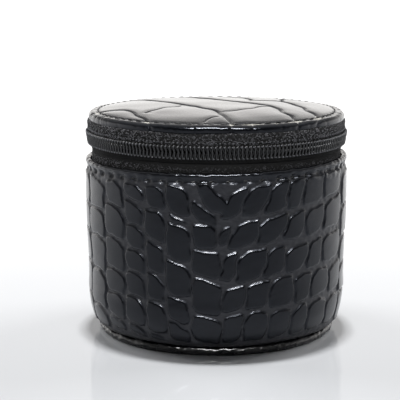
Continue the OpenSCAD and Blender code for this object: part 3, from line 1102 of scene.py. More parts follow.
def wall_profile():
    """Outer and inner profile of the wall leather. The outer one runs from the hem under the
    case, round the curl, up the wall, over the stitched dip and round the rolled rim; its
    points stand 0.44 mm apart on the wall. The inner one runs back down to the hem."""
    curl = arc_points((WALL_R - 1.5 - CURL_R, BASE_TOP + CURL_R), CURL_R, -90, -6, 24)
    wall = smooth_curve(
        [
            curl[-1],
            (WALL_R - 0.75, BASE_TOP + 6.0),
            (WALL_R - 0.1, BASE_TOP + 9.6),
            (WALL_R + 0.25, BASE_TOP + 14),
            (WALL_R + 0.15, BASE_TOP + 19),
            (WALL_R + 0.35, BASE_TOP + 31),
            (WALL_R + 0.6, BASE_TOP + 43),
            (WALL_R + 0.75, STITCH_Z - 5.5),
            (RIM_R - 0.3, STITCH_Z - 1.5),
            (RIM_R - 0.7, STITCH_Z - 0.1),
        ],
        12,
    )
    bead = arc_points((RIM_R - BEAD_R, RIM_TOP - BEAD_R), BEAD_R, -38, 180, 13)
    hem = [[HEM_R, BASE_TOP], [HEM_R + 2.5, BASE_TOP]]
    inner = [
        (TAPE_R, RIM_TOP - 4.0),
        (TAPE_R, SEAM_Z),
        (WALL_R - 1.1, SEAM_Z),
        (WALL_R - 1.6, BASE_TOP + 10.0),
        (WALL_R - 3.0, BASE_TOP + 3.1),
        (WALL_R - 4.5, BASE_TOP + 3.1),
        (WALL_R - 4.5, BASE_TOP + 1.1),
        (HEM_R, BASE_TOP + 1.1),
    ]
    outer = np.vstack([hem, curl[:12], evenly(np.vstack([curl[12:], wall[1:]]), 0.44), bead])
    return outer, np.array(inner)


def stitch_angles(radius, pitch):
    """Angles of the stitches of a seam of this radius, in degrees."""
    return full_turn(int(2 * np.pi * radius // pitch))


def skew(angles, z):
    """How far the rim stands above its mean height at each angle: it leans a little to the
    left, from below the stitching upwards."""
    return 0.75 * np.cos(np.radians(angles)) * smoothstep(45.0, STITCH_Z, z)


class CASE_OT_wall_leather(bpy.types.Operator):
    """Embossed leather wall with its hem, bottom curl, puffed seam and rolled rim"""

    bl_idname = "case.wall_leather"
    bl_label = "Wall leather"

    def execute(self, context):
        outer, inner = wall_profile()
        n, s = normals_of(outer), lengths_of(outer)
        # Columns stand 0.38 mm apart where the wall faces forward and twice as far behind.
        front, behind = np.linspace(-82, 82, 372), np.linspace(82, 278, 202)[1:-1]
        half = len(behind) // 2
        angles = FRONT + np.concatenate([behind[half:] - 360, front, behind[:half]])
        u = np.radians(angles - FRONT) * WALL_R
        # Height along the wall, carried on round the curl and the rim by length.
        straight = np.argmin(np.abs(outer[:, 1] - 30.0))
        z = outer[straight, 1] + s - s[straight]
        relief, share = wall_relief(u, z)
        # up is the length above the stitched dip. The relief fades out under the case, is
        # pressed low above the dip and ends on the rim.
        up = (s - s[np.argmin(np.abs(outer[:, 1] - STITCH_Z))])[:, None]
        fade = smoothstep(s[0] + 4.0, s[0] + 9.0, s)[:, None]
        fade = fade * (1 - 0.75 * smoothstep(-1.0, 0.6, up)) * (1 - smoothstep(4.2, 5.6, up))
        # The thread pulls a long pit into the dip at each stitch and tugs at the rim above it.
        pitch = 360.0 / len(stitch_angles(RIM_R, context.scene.case_zip.stitch_pitch / MM))
        across = np.radians((angles[None, :] + pitch / 2) % pitch - pitch / 2) * RIM_R
        pit = np.exp(-((across / 1.25) ** 4) - ((up - 0.15) / 0.6) ** 2)
        tug = np.exp(-((across / 1.6) ** 2) - ((up - 1.4) / 1.0) ** 2)
        between = np.cos(np.pi * across / (np.radians(pitch / 2) * RIM_R))
        pucker = -between * np.exp(-(((up + 0.9) / 0.9) ** 2))
        here = u[None, :], z[:, None]
        crumple = wander(*here, 12, 3.4, 1.5) * np.exp(-((up / 3.0) ** 2))
        push = relief * fade - 0.8 * pit - 0.16 * tug + 0.14 * pucker + 0.07 * crumple
        # The rim is kneaded and pinched here and there, and the wall swells softly.
        knead = wander(*here, 13, 8.0, 2.4)
        pinch = smoothstep(0.35, 1.1, wander(*here, 14, 5.0, 1.6))
        rim_part = smoothstep(1.8, 3.4, up) * (1 - smoothstep(6.0, 7.5, up))
        push = push + (0.08 * knead - 0.16 * pinch) * rim_part
        push = push + 0.14 * wander(*here, 11, 60.0, 22.0) * fade
        radius = outer[:, :1] + n[:, :1] * push
        height = outer[:, 1:] + n[:, 1:] * push + skew(angles[None, :], outer[:, 1:])
        radius = np.vstack([radius, inner[:, :1] + 0 * u])
        height = np.vstack([height, inner[:, 1:] + 0 * u])
        points = around(radius, height, angles[None, :])
        # The shade field: stitch holes at 0, painted black as shade in them; then valleys, paler
        # from wear and a painted highlight; and glazed scales at 1.
        # Towards the bottom curl the field is lowered, so the leather there turns to the paler
        # colour: a painted reflection of the table.
        painted_table_reflection = 0.5 * (1 - smoothstep(BASE_TOP + 2.0, BASE_TOP + 4.5, outer[:, 1:]))
        shade = (share * fade + 1 - fade) * (1 - painted_table_reflection)
        shade = HOLE_SHARE + (1 - HOLE_SHARE) * shade - 1.3 * pit
        shade = np.vstack([shade, np.ones((len(inner), len(u)))])
        piece = make_surface(
            "wall_leather",
            points,
            close_rows=True,
            close_cols=True,
            uv=(u, lengths_of(np.vstack([outer, inner]))),
            fields={"relief": np.clip(shade, 0, 1)},
        )
        settle(piece, "case", "embossed_leather", "body_leather")
        return {"FINISHED"}


class CASE_OT_base_disc(bpy.types.Operator):
    """Glossy leather over the base disc, turned up round its board"""

    bl_idname = "case.base_disc"
    bl_label = "Base disc"

    def execute(self, context):
        edge, reach, thick, lap = 1.5, BASE_R + 0.5, 1.1, 1.6
        outer = np.vstack(
            [
                [[radius, 0.0] for radius in (8.0, 20.0, 32.0, 40.0)],
                arc_points((reach - edge, edge), edge, -90, 0, 9),
                arc_points((reach - edge, BASE_TOP - edge), edge, 0, 90, 9),
                [[BASE_R - lap, BASE_TOP], [BASE_R - lap, thick], [20.0, thick], [8.0, thick]],
            ]
        )
        angles = full_turn(480)
        arc = np.radians(angles) * BASE_R
        n = normals_of(outer)
        s = lengths_of(outer)
        # Only the edge that shows is uneven: its foot stays flat on the table.
        live = (outer[:, 0] > BASE_R - 1.0) & (outer[:, 1] < BASE_TOP - 0.05)
        live &= outer[:, 1] >= 0.05
        push = 0.1 * wander(arc[None, :], s[:, None], 21, 30.0, 6.0)
        push = (push + 0.09 * wander(arc[None, :], s[:, None] * 1.6, 22, 6.0, 2.4)) * live[:, None]
        radius = outer[:, :1] + n[:, :1] * push
        height = np.maximum(outer[:, 1:] + n[:, 1:] * push, 0.0)
        points = around(radius, height, angles[None, :])
        piece = make_surface(
            "base_leather", points, close_cols=True, uv=(arc, s), caps=("first", "last")
        )
        settle(piece, "case", "smooth_leather", "base_cover")
        return {"FINISHED"}


# Valleys over the lid: each one's width and its path (x, y) seen from above, in millimetres.
LID_VALLEYS = [
    (0.8, [(-49, -10), (-44, -11), (-37, -9), (-32, -14), (-29, -24), (-25, -37), (-24, -44)]),
    (
        1.0,
        [(-40, 25), (-31, 26), (-25, 20), (-19, 12), (-13, 4), (-8, -4), (-3, -12), (0, -20),
         (2, -30), (4, -40), (4.5, -50)],
    ),
    (
        1.0,
        [(-17, 50), (-16, 46), (-13, 38), (-8, 31), (-3, 25), (2, 19), (7, 13), (13, 7), (20, 0),
         (23, -9), (26, -24), (28, -34), (30, -42)],
    ),
    (
        0.9,
        [(-9, 52), (-3, 44), (2, 39), (6, 34), (11, 32), (14, 23), (15, 19), (24, 18), (27, 15),
         (31, 4), (34, -12), (36, -22), (37, -34)],
    ),
    (0.8, [(21, 52), (26, 38), (27, 28), (26, 20)]),
    (0.45, [(-13, 3), (-15, -4), (-20, -9), (-26, -20)]),
    (0.45, [(1, -20), (6, -18), (12, -12), (17, -5), (22, -4)]),
    (0.4, [(0, -32), (-3, -37), (-4, -43)]),
    (0.45, [(27, 27), (35, 24), (42, 26)]),
    (0.6, [(-22, -45), (-21, -50)]),
    (0.6, [(12, -44), (13, -50)]),
]


def near_path(x, y, path):
    """Distance from each place to the nearest point of a path of straight pieces."""
    best = np.full(x.shape, 1e9)
    for (ax, ay), (bx, by) in zip(path, path[1:]):
        dx, dy = bx - ax, by - ay
        t = np.clip(((x - ax) * dx + (y - ay) * dy) / (dx * dx + dy * dy), 0, 1)
        best = np.minimum(best, np.hypot(x - ax - t * dx, y - ay - t * dy))
    return best


def lid_relief(x, y):
    """Depth of the lid's valleys at each place seen from above: each valley is a smooth dip of
    its own width with softly rounded banks."""
    depth = bpy.context.scene.case_leather.lid_valley_depth / MM
    bent_x = x + 0.35 * wander(x, y, 31, 18.0, 6.0)
    bent_y = y + 0.35 * wander(x, y, 32, 18.0, 6.0)
    drop = np.zeros_like(x)
    for width, path in LID_VALLEYS:
        curve = smooth_curve(path, 6)
        d = near_path(bent_x, bent_y, curve)
        size = min(1.0, width / 0.8)
        dip = np.exp(-((d / (0.55 * width)) ** 2)) + 0.35 * np.exp(-((d / 2.2) ** 2))
        drop = np.maximum(drop, size * dip)
    return depth * drop


def lid_profile():
    """Outer and inner profile of the lid leather. The outer one runs from the middle over the
    puffed top, through the stitched dip and round the rolled edge; its points stand 0.42 mm
    apart. The inner one runs back from the turned-in hem."""
    start, roll, thick = 1.2, 1.9, 2.2
    hem_r = LID_R - 7.1
    top = smooth_curve(
        [
            (start, LID_TOP + 1.0),
            (12.0, LID_TOP + 0.93),
            (24.0, LID_TOP + 0.7),
            (33.0, LID_TOP + 0.38),
            (38.0, LID_TOP + 0.08),
            (42.0, LID_TOP - 0.26),
            (LID_SEAM_R - 0.9, LID_TOP - 0.54),
            (LID_SEAM_R, LID_TOP - 0.74),
            (LID_SEAM_R + 0.6, LID_TOP - 0.86),
        ],
        10,
    )
    edge = arc_points((LID_R - roll, LID_LOW + 0.85), roll, 66, 0, 16)
    lip = [[LID_R - 0.1, LID_LOW - 0.3], [LID_R - 0.45, LID_LOW - 0.35], [LID_R - 0.8, LID_LOW]]
    inner = [
        (hem_r, LID_LOW),
        (hem_r, LID_LOW + 0.6),
        (LID_R - 1.2, LID_LOW + 0.6),
        (LID_R - 1.2, LID_LOW + 1.8),
        (LID_R - 3.6, LID_LOW + thick),
        (10.0, LID_LOW + thick),
        (start, LID_LOW + thick),
    ]
    return evenly(np.vstack([top, edge, lip]), 0.42), np.array(inner)


class CASE_OT_lid_leather(bpy.types.Operator):
    """Embossed leather of the lid: puffed top, stitched dip, rounded edge and turned-in hem"""

    bl_idname = "case.lid_leather"
    bl_label = "Lid leather"

    def execute(self, context):
        outer, inner = lid_profile()
        r, z = outer[:, :1], outer[:, 1:]
        n, s = -normals_of(outer), lengths_of(outer)[:, None]
        angles = full_turn(620)
        a = np.radians(angles)[None, :]
        # Over the edge the valleys run on straight down, as if the leather lay flat.
        flat_r = np.maximum.accumulate(r + 0 * a, axis=0)
        beyond = np.maximum(0, s - s[np.argmax(r > LID_R - 0.6)]) * 0.6
        x, y = (flat_r + beyond) * np.cos(a), (flat_r + beyond) * np.sin(a)
        drop = lid_relief(x, y) * (1 - 0.5 * smoothstep(LID_SEAM_R - 2.5, LID_SEAM_R + 1.0, r))
        # The top swells softly; the edge waves up and down and is pinched here and there.
        edge_part = smoothstep(LID_R - 6.0, LID_R - 0.5, r)
        swell = 0.07 * wander(x, y, 33, 50.0, 20.0) * (1 - edge_part)
        edge_wave = 0.108 * wander(a * LID_R, 0 * a, 34, 45.0, 15.0) * edge_part
        pinch = smoothstep(0.4, 1.1, wander(a * LID_R, s, 35, 6.0, 2.0)) * edge_part
        pitch = 360.0 / len(stitch_angles(LID_SEAM_R, LID_PITCH))
        across = np.radians(angles[None, :] % pitch - pitch / 2) * LID_SEAM_R
        pit = np.exp(-((across / 0.6) ** 2) - ((r - LID_SEAM_R) / 0.5) ** 2)
        push = swell - drop - 0.13 * pinch - 0.2 * pit * (z > LID_LOW + 1)
        radius = np.vstack([r + n[:, :1] * push, inner[:, :1] + 0 * a])
        height = np.minimum(z + n[:, 1:] * push + edge_wave, LID_TOP + 1.1)
        height = np.vstack([height, inner[:, 1:] + 0 * a])
        # The shade field: valleys drop to half, turning them towards the paler worn-and-highlight
        # colour; stitch pits drop near 0 and are painted dark as shade.
        depth = context.scene.case_leather.lid_valley_depth / MM
        shade = np.clip(1 - 0.5 * np.clip(drop / depth, 0, 1) - 0.8 * pit, 0, 1)
        piece = make_surface(
            "lid_top_leather",
            around(radius, height, angles[None, :]),
            close_cols=True,
            uv=(a[0] * LID_R, lengths_of(np.vstack([outer, inner]))),
            fields={"relief": np.vstack([shade, np.ones((len(inner), len(angles)))])},
            caps=("first", "last"),
        )
        settle(piece, "lid", "embossed_leather", "lid_leather")
        return {"FINISHED"}


# ---------------------------------------------------------------------------------------------
# Stitching


def rim_lift(co):
    """How far each point of a stitch rises with the rim's lean."""
    return skew(np.degrees(np.arctan2(co[:, 1], co[:, 0])), co[:, 2])


def stitch_row(name, radius, z, pitch, upright, body, stands_for):
    """A ring of stitches. Each is a thread that dives into the leather at both ends: a tube
    whose middle follows a half sine and whose ends taper off."""
    angles = stitch_angles(radius, pitch)
    pitch = 2 * np.pi * radius / len(angles)
    t = np.linspace(-1, 1, 9)[:, None]
    ring = np.linspace(0, 2 * np.pi, 8, endpoint=False)
    thin = 0.24 * np.sqrt(np.maximum(1 - (0.98 * t) ** 6, 0.05))
    along = t * min(pitch * 0.36, 1.5) + 0 * ring
    out = 0.28 * np.cos(t * np.pi / 2) ** 0.6 - 0.12 + thin * np.cos(ring)
    side = thin * np.sin(ring)
    if upright:
        local, lift = np.stack([radius + out, along, z + side], -1), rim_lift
    else:
        local, lift = np.stack([radius + side, along, z + out], -1), None
    return settle(repeated(name, local, angles, lift), body, "thread", stands_for)


class CASE_OT_stitching(bpy.types.Operator):
    """Stitches under the rolled rim and round the lid"""

    bl_idname = "case.stitching"
    bl_label = "Stitching"

    def execute(self, context):
        pitch = context.scene.case_zip.stitch_pitch / MM
        dip_r, dip_z = RIM_R - 1.25, LID_TOP - 0.87
        stitch_row("rim_stitches", dip_r, STITCH_Z, pitch, True, "case", "rim_stitching")
        stitch_row("lid_stitches", LID_SEAM_R, dip_z, LID_PITCH, False, "lid", "lid_stitching")
        return {"FINISHED"}


# ---------------------------------------------------------------------------------------------
# Zip


def tape_face(z):
    """Radius of the tape's outer face beside the chain."""
    return TAPE_R + TAPE_LEAN * (z - LEAN_Z)


def cloth_section(outside, thickness):
    """Closed section of a band of cloth: its outer path, and the same path moved in."""
    path = evenly(smooth_curve(outside, 8), 0.35)
    n = normals_of(path)
    return np.vstack([path, (path - n * thickness)[::-1]])


def ripple(seed, height=0.1, squeeze=2.0, longest=26.0, shortest=8.0):
    """Slight waves of a sewn band, squeezed across it: by default those of a tape."""
    return lambda s, arc: height * wander(arc, s * squeeze, seed, longest, shortest)


class CASE_OT_zip_tapes(bpy.types.Operator):
    """Woven tapes of the zip, above and below the chain"""

    bl_idname = "case.zip_tapes"
    bl_label = "Zip tapes"

    def execute(self, context):
        lower = cloth_section(
            [
                (TAPE_R - 0.1, RIM_TOP - 4.5),
                (TAPE_R - 0.1, RIM_TOP - 0.5),
                (TAPE_R - 0.2, RIM_TOP + 1.6),
                (TAPE_R - 0.25, RIM_TOP + 3.2),
                (TAPE_R + 0.05, LEAN_Z + 0.3),
                (tape_face(COIL_LOW), COIL_LOW),
                (tape_face(CHAIN_Z - 0.5), CHAIN_Z - 0.5),
            ],
            TAPE_T,
        )
        angles = np.linspace(CHAIN_FROM, CHAIN_TO, 520)
        piece = ring_surface("lower_tape", lower, angles, ripple(41))
        settle(piece, "case", "zip_tape", "lower_zip_tape")
        crown = LID_R + 0.55
        upper_path = [
            (tape_face(CHAIN_Z + 0.5), CHAIN_Z + 0.5),
            (tape_face(COIL_HIGH), COIL_HIGH),
            (tape_face(COIL_HIGH) + 0.25, COIL_HIGH + 0.9),
            (crown - 0.1, LID_LOW - 2.4),
            (crown, LID_LOW - 1.3),
            (crown - 0.35, LID_LOW - 0.35),
            (LID_R - 0.9, LID_LOW - 0.02),
            (LID_R - 4.0, LID_LOW - 0.02),
        ]
        upper = cloth_section(upper_path, TAPE_T - 0.05)
        angles = np.linspace(LID_CHAIN_FROM, LID_CHAIN_TO, 470)
        piece = ring_surface("upper_tape", upper, angles, ripple(42))
        settle(piece, "lid", "zip_tape", "upper_zip_tape")
        for name, start, stop in (
            ("upper_tape_end_left", CHAIN_FROM, LID_CHAIN_FROM),
            ("upper_tape_end_right", LID_CHAIN_TO, CHAIN_TO),
        ):
            angles = np.linspace(start, stop, 26)
            piece = ring_surface(name, upper, angles, ripple(42))
            settle(piece, None, "zip_tape")
            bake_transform(piece)
        return {"FINISHED"}


def coil_half(name, start, stop, mid_z, turned, body, *stands_for):
    """One row of nylon loops: a helix about a line in the chain, flattened to an ellipse about
    three times as high as deep, as a tube of seven sides. turned shifts the loops by half a
    pitch."""
    props = bpy.context.scene.case_zip
    pitch, filament = props.coil_pitch / MM, props.filament / MM
    ring_r = tape_face(CHAIN_Z) + PITCH_OUT
    turns = int(round(np.radians(stop - start) * ring_r / pitch))
    steps = 22
    t = np.arange(turns * steps + 1) / steps
    lead = (t / turns) * np.radians(stop - start) + np.radians(start)
    if turned:
        lead = lead + (pitch / 2) / ring_r
    swing = 2 * np.pi * t
    sign = -1.0 if turned else 1.0
    dz = sign * ROW_HALF * np.cos(swing)
    dr = ROW_DEEP * np.sin(swing)
    # cos(swing) is 1 at the head, which lies between two heads of the other row, and the legs
    # slant away from it, so the two rows make a zigzag.
    lean = 0.24 * pitch / ring_r * np.cos(swing)
    # Where the slider parks the rows stand apart, one on each side of its web.
    parks = (SLIDER_AT, SLIDER_AT + TRAVEL)
    beside = np.min([np.abs(np.degrees(lead) - park) for park in parks], axis=0)
    z = mid_z + dz - sign * PARTING * (1 - smoothstep(2.7, 5.2, beside))
    r = tape_face(z) + ROW_OUT + dr
    centre = np.stack([r * np.cos(lead + lean), r * np.sin(lead + lean), z], -1)
    d = np.gradient(centre, axis=0)
    d /= np.linalg.norm(d, axis=1)[:, None]
    radial = np.stack([np.cos(lead), np.sin(lead), 0 * lead], -1)
    axis_z = np.stack([0 * lead, 0 * lead, 1 + 0 * lead], -1)
    hub = -dz[:, None] * axis_z - dr[:, None] * radial
    across = hub - (hub * d).sum(1)[:, None] * d
    across /= np.maximum(np.linalg.norm(across, axis=1), 1e-9)[:, None]
    up = np.cross(d, across)
    thick = filament / 2 * (0.86 + 0.32 * smoothstep(0.3, 1.0, np.cos(swing)))
    points = tube_along(centre, across, up, thick, 7)
    piece = make_surface(name, points, close_cols=True, caps=("first", "last"))
    return settle(piece, body, "nylon_coil", *stands_for)


def bead_row(name, start, stop, z, out, body):
    """Sewing thread over the coil's edge: one small oval knot for each loop, at a height z and
    this far out from the tape."""
    pitch = bpy.context.scene.case_zip.coil_pitch / MM
    radius = tape_face(z) + out
    count = int(np.radians(stop - start) * radius / pitch)
    lat = np.linspace(0, np.pi, 6)[1:-1, None]
    lon = np.linspace(0, 2 * np.pi, 8, endpoint=False)
    deep, wide = 0.22, 0.3
    local = np.stack(
        [
            radius + deep * np.cos(lat) + 0 * lon,
            wide * np.sin(lat) * np.cos(lon),
            z + wide * np.sin(lat) * np.sin(lon),
        ],
        -1,
    )
    angles = start + np.degrees((np.arange(count) + 0.5) * pitch / radius)
    return settle(repeated(name, local, angles), body, "thread", finish="coil_thread")


class CASE_OT_zip_coils(bpy.types.Operator):
    """Nylon coils of the zip and the thread that sews them to the tapes"""

    bl_idname = "case.zip_coils"
    bl_label = "Zip coils"

    def execute(self, context):
        first, last = CHAIN_FROM + STOP_ANGLE, CHAIN_TO - STOP_ANGLE
        low, high = CHAIN_Z - ROW_OFF, CHAIN_Z + ROW_OFF
        lid_from, lid_to = LID_CHAIN_FROM, LID_CHAIN_TO
        coil_half("lower_coil", first, last, low, False, "case", "lower_zip_coil")
        coil_half("upper_coil", lid_from, lid_to, high, True, "lid", "upper_zip_coil")
        coil_half("upper_coil_end_left", first, lid_from - 1.6, high, True, "case")
        coil_half("upper_coil_end_right", lid_to, last - 1.2, high, True, "case")
        bead_row("lower_coil_stitches", first, last, CHAIN_Z - 2.1, 1.02, "case")
        bead_row("upper_coil_stitches", lid_from, lid_to, CHAIN_Z + 2.05, 1.02, "lid")
        bead_row("upper_tape_stitches", lid_from, lid_to, CHAIN_Z + 3.5, 0.1, "lid")
        return {"FINISHED"}


class CASE_OT_hinge(bpy.types.Operator):
    """Leather hinge strip at the back and the velvet strip inside it"""

    bl_idname = "case.hinge"
    bl_label = "Hinge"

    def execute(self, context):
        outside = cloth_section(
            [
                (TAPE_R - 0.1, RIM_TOP - 4.5),
                (TAPE_R - 0.1, RIM_TOP + 0.2),
                (TAPE_R + 0.35, RIM_TOP + 2.6),
                (TAPE_R + 0.7, LEAN_Z + 1.0),
                (TAPE_R + 0.9, CHAIN_Z + 1.0),
                (LID_R - 0.35, LID_LOW - 2.0),
                (LID_R - 0.6, LID_LOW - 0.5),
                (LID_R - 1.6, LID_LOW - 0.12),
                (LID_R - 4.0, LID_LOW - 0.12),
            ],
            0.9,
        )
        half = (CHAIN_FROM - BACK) - 0.2
        angles = np.linspace(BACK - half, BACK + half, 150)
        folds = ripple(51, 0.16, 1.4, 22.0, 6.0)
        piece = ring_surface("hinge_leather", outside, angles, folds)
        settle(piece, None, "smooth_leather", "hinge_strip")
        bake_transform(piece)
        pad_z = node_size("lid_lining_pad")[0][2]
        inside = cloth_section(
            [
                (TAPE_R - TAPE_T - 0.35, LINING_TOP - 0.2),
                (TAPE_R - 0.75, LEAN_Z),
                (TAPE_R - 0.3, CHAIN_Z + 1.0),
                (TAPE_R - 0.5, pad_z + 0.6),
            ],
            0.7,
        )
        angles = np.linspace(BACK - half + 0.6, BACK + half - 0.6, 90)
        piece = ring_surface("hinge_velvet", inside, angles, folds)
        settle(piece, None, "velvet", "hinge_lining")
        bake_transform(piece)
        return {"FINISHED"}


# ---------------------------------------------------------------------------------------------
# Inside


def crowned_disc(name, radius, low, high, crown, edge, body, stands_for, downward=False):
    """A round pad: flat on one side, and on the other a shallow dome with a soft edge whose
    section is a quarter of a superellipse, and a faint dimpled cloth surface."""
    thick = high - low
    top = [(radius * f * 0.97, crown * (1 - f * f)) for f in (0.03, 0.2, 0.4, 0.6, 0.8, 0.93)]
    rim = [
        (radius - edge + edge * math.sin(a) ** 0.7, -edge * (1 - math.cos(a) ** 0.7))
        for a in np.linspace(0, np.pi / 2, 10)
    ]
    path = np.array(top + rim + [(radius - 0.05, -thick), (2.0, -thick)])
    height = low - path[:, 1] if downward else high + path[:, 1]
    angles = full_turn(180)
    points = around(path[:, :1], height[:, None], angles[None, :])
    dimpled = points[: len(top) + 3]
    dimpled[..., 2] += 0.06 * wander(dimpled[..., 0], dimpled[..., 1], 61, 14.0, 5.0)
    piece = make_surface(name, points, close_cols=True, caps=("first", "last"))
    settle(piece, body, "velvet", stands_for)


def rounded_slab(name, low, high, radius, body, stands_for):
    """A cloth-covered board: a box with rounded edges. Its outline is a superellipse near a
    rectangle, which shrinks by a quarter circle over each face of the board."""
    thin = int(np.argmin(high - low))
    size = (high - low) / 2
    wide, tall = [i for i in range(3) if i != thin]
    outline = superellipse(np.linspace(0, 2 * np.pi, 96, endpoint=False), 14.0)
    bend = np.linspace(-1, 1, 13) * np.pi / 2
    grow = radius * (np.cos(bend) - 1)[:, None]
    depth = (size[thin] - radius) * np.sign(bend.round(9)) + radius * np.sin(bend)
    points = np.zeros((len(bend), len(outline), 3))
    points[..., wide] = outline[:, 0] * (size[wide] + grow)
    points[..., tall] = outline[:, 1] * (size[tall] + grow)
    points[..., thin] = depth[:, None]
    points += (high + low) / 2
    piece = make_surface(name, points, close_cols=True, caps=("first", "last"))
    settle(piece, body, "velvet", stands_for)


class CASE_OT_lining(bpy.types.Operator):
    """Velvet wall lining, floor pad, lid pad and dividers"""

    bl_idname = "case.lining"
    bl_label = "Lining"

    def execute(self, context):
        crown = context.scene.case_lining.crown / MM
        hem_r = TAPE_R - TAPE_T - 0.1
        wall_out = LINING_IN_R + 0.8
        step, bead = 2.5, 0.6
        section = np.vstack(
            [
                [[LINING_IN_R, LINING_LOW], [wall_out, LINING_LOW], [wall_out, SEAM_Z - 0.2]],
                [[hem_r, SEAM_Z + 0.4], [hem_r, LINING_TOP - 0.5]],
                arc_points(((hem_r + LINING_IN_R) / 2, LINING_TOP - bead), bead, 0, 180, 7),
                [[LINING_IN_R, z] for z in np.arange(LINING_TOP - step, LINING_LOW + 1, -step)],
            ]
        )
        waves = ripple(62, 0.05, 1.0, 20.0, 7.0)
        piece = ring_surface("wall_velvet", section, full_turn(240), waves, full=True)
        settle(piece, "case", "velvet", "lining_wall")
        low, high = node_size("floor_pad")
        top = high[2] - 0.2
        crowned_disc(
            "floor_velvet", LINING_IN_R - 0.1, low[2], top, 0.2, 0.8, "case", "floor_pad"
        )
        low, high = node_size("lid_lining_pad")
        sag, top = crown * 0.6, LID_LOW - TAPE_T
        crowned_disc(
            "lid_velvet", high[0] - 0.05, low[2] + sag, top, sag, 1.2, "lid", "lid_lining_pad",
            downward=True,
        )
        for name in ("long_divider", "short_divider"):
            low, high = node_size(name)
            low[2] += 0.02
            rounded_slab(name + "_velvet", low, high, 1.15, "case", name)
        return {"FINISHED"}


class CASE_OT_ring_rolls(bpy.types.Operator):
    """Velvet block and the padded rolls that hold rings"""

    bl_idname = "case.ring_rolls"
    bl_label = "Ring rolls"

    def execute(self, context):
        low, high = node_size("ring_block")
        reach = LINING_IN_R - 0.15
        edge_x = high[0] - 0.05
        half = math.degrees(math.acos(-edge_x / reach))
        arc = arc_points((0, 0), reach, 180 - half, 180 + half, 90)
        chord = np.stack([np.full(40, edge_x), np.linspace(arc[-1][1], arc[0][1], 42)[1:-1]], -1)
        outline = np.vstack([arc, chord])
        middle = outline.mean(0)
        # Rings of the outline, each pulled in by a share of the way to its middle: the foot, a
        # quarter circle over the edge, and the flat top.
        edge = 1.2
        rings = [(0.0, low[2])]
        for angle in np.linspace(0, np.pi / 2, 8):
            pull = edge * (1 - math.cos(angle)) / reach
            rings.append((pull, high[2] - edge + edge * math.sin(angle)))
        rings += [(share, high[2]) for share in (0.25, 0.5, 0.75, 0.93)]
        points = np.array(
            [
                np.column_stack([outline + (middle - outline) * pull, np.full(len(outline), z)])
                for pull, z in rings
            ]
        )
        piece = make_surface(
            "ring_block_velvet", points, close_cols=True, caps=("first", "last")
        )
        settle(piece, "case", "velvet", "ring_block")
        for seed, name in enumerate(("inner", "middle", "outer")):
            self.roll(f"ring_roll_{name}", 71 + seed)
        return {"FINISHED"}

    def roll(self, node, seed):
        """A stuffed roll: a bar with domed ends, gathered to a button at each end, a seam along
        its side, and small dents from the stuffing."""
        low, high = node_size(node)
        r = (high[0] - low[0]) / 2
        centre = (low + high) / 2
        half = (high[1] - low[1]) / 2
        t = np.linspace(-1, 1, 90)
        y = half * np.sin(t * np.pi / 2) * 0.999
        inset = np.maximum(np.abs(y) - (half - r), 0)
        radius = np.sqrt(np.maximum(r * r - inset * inset, (0.06 * r) ** 2))
        a = np.linspace(0, 2 * np.pi, 64, endpoint=False)
        gather = 0.22 * np.cos(14 * a) * smoothstep(half - r * 1.1, half, np.abs(y))[:, None]
        seam = 0.35 * np.exp(-(((a - np.pi * 1.5) / 0.09) ** 2))
        dents = 0.12 * wander(y[:, None], a * r, seed, 16.0, 5.0)
        body = np.maximum(radius[:, None] - np.abs(gather) - seam - np.abs(dents), 0.02)
        across, up = body * np.cos(a), body * np.sin(a)
        points = centre + np.stack([across, y[:, None] + 0 * a, up], -1)
        piece = make_surface(node + "_velvet", points, close_cols=True, caps=("first", "last"))
        settle(piece, "case", "velvet", node)


# ---------------------------------------------------------------------------------------------
# Slider, pull and end stops


def pressed_plate(
    name, at, face, size, thick, body, *stands_for, dome=0.0, lip=0.0, pinch=0.0, mid_z=CHAIN_Z
):
    """A die-cast plate that follows the case's round. Rings of its outline, a superellipse of
    half size (along the chain, across it) pinched at one end, shrink towards the middle over the
    domed face, round the edge, and again behind it; lip is how far its long edges turn in."""
    outline = superellipse(np.linspace(0, 2 * np.pi, 72, endpoint=False), 3.4)
    along = size[0] * outline[:, 0]
    across = size[1] * outline[:, 1] * (1 - pinch * smoothstep(0.0, 1.0, -outline[:, 0]))
    front = np.array([0.03, 0.3, 0.55, 0.75, 0.87, 0.94, 0.98, 1.0, 1.0])
    fall = np.array([0.0, 0.0, 0.0, 0.0, 0.02, 0.06, 0.14, 0.26, 0.45]) * min(1.0, thick)
    over = (dome * (1 - front**2) - fall)[:, None] + 0 * along
    back = np.array([1.0, 0.975, 0.89, 0.86, 0.5, 0.03])
    turned = np.array([0.8, 1.0, 1.0, 0.0, 0.0, 0.0])[:, None] * lip
    behind = -thick * np.array([0.85, 1, 1, 1, 1, 1])[:, None] - turned * smoothstep(
        0.7, 0.95, np.abs(outline[:, 1])
    )
    share = np.concatenate([front, back])[:, None]
    radius = face + np.vstack([over, behind]) + TAPE_LEAN * share * across
    points = around(radius, mid_z + share * across, at + np.degrees(share * along / face))
    piece = make_surface(name, points, close_cols=True, caps=("first", "last"))
    return settle(piece, body, "black_metal", *stands_for)


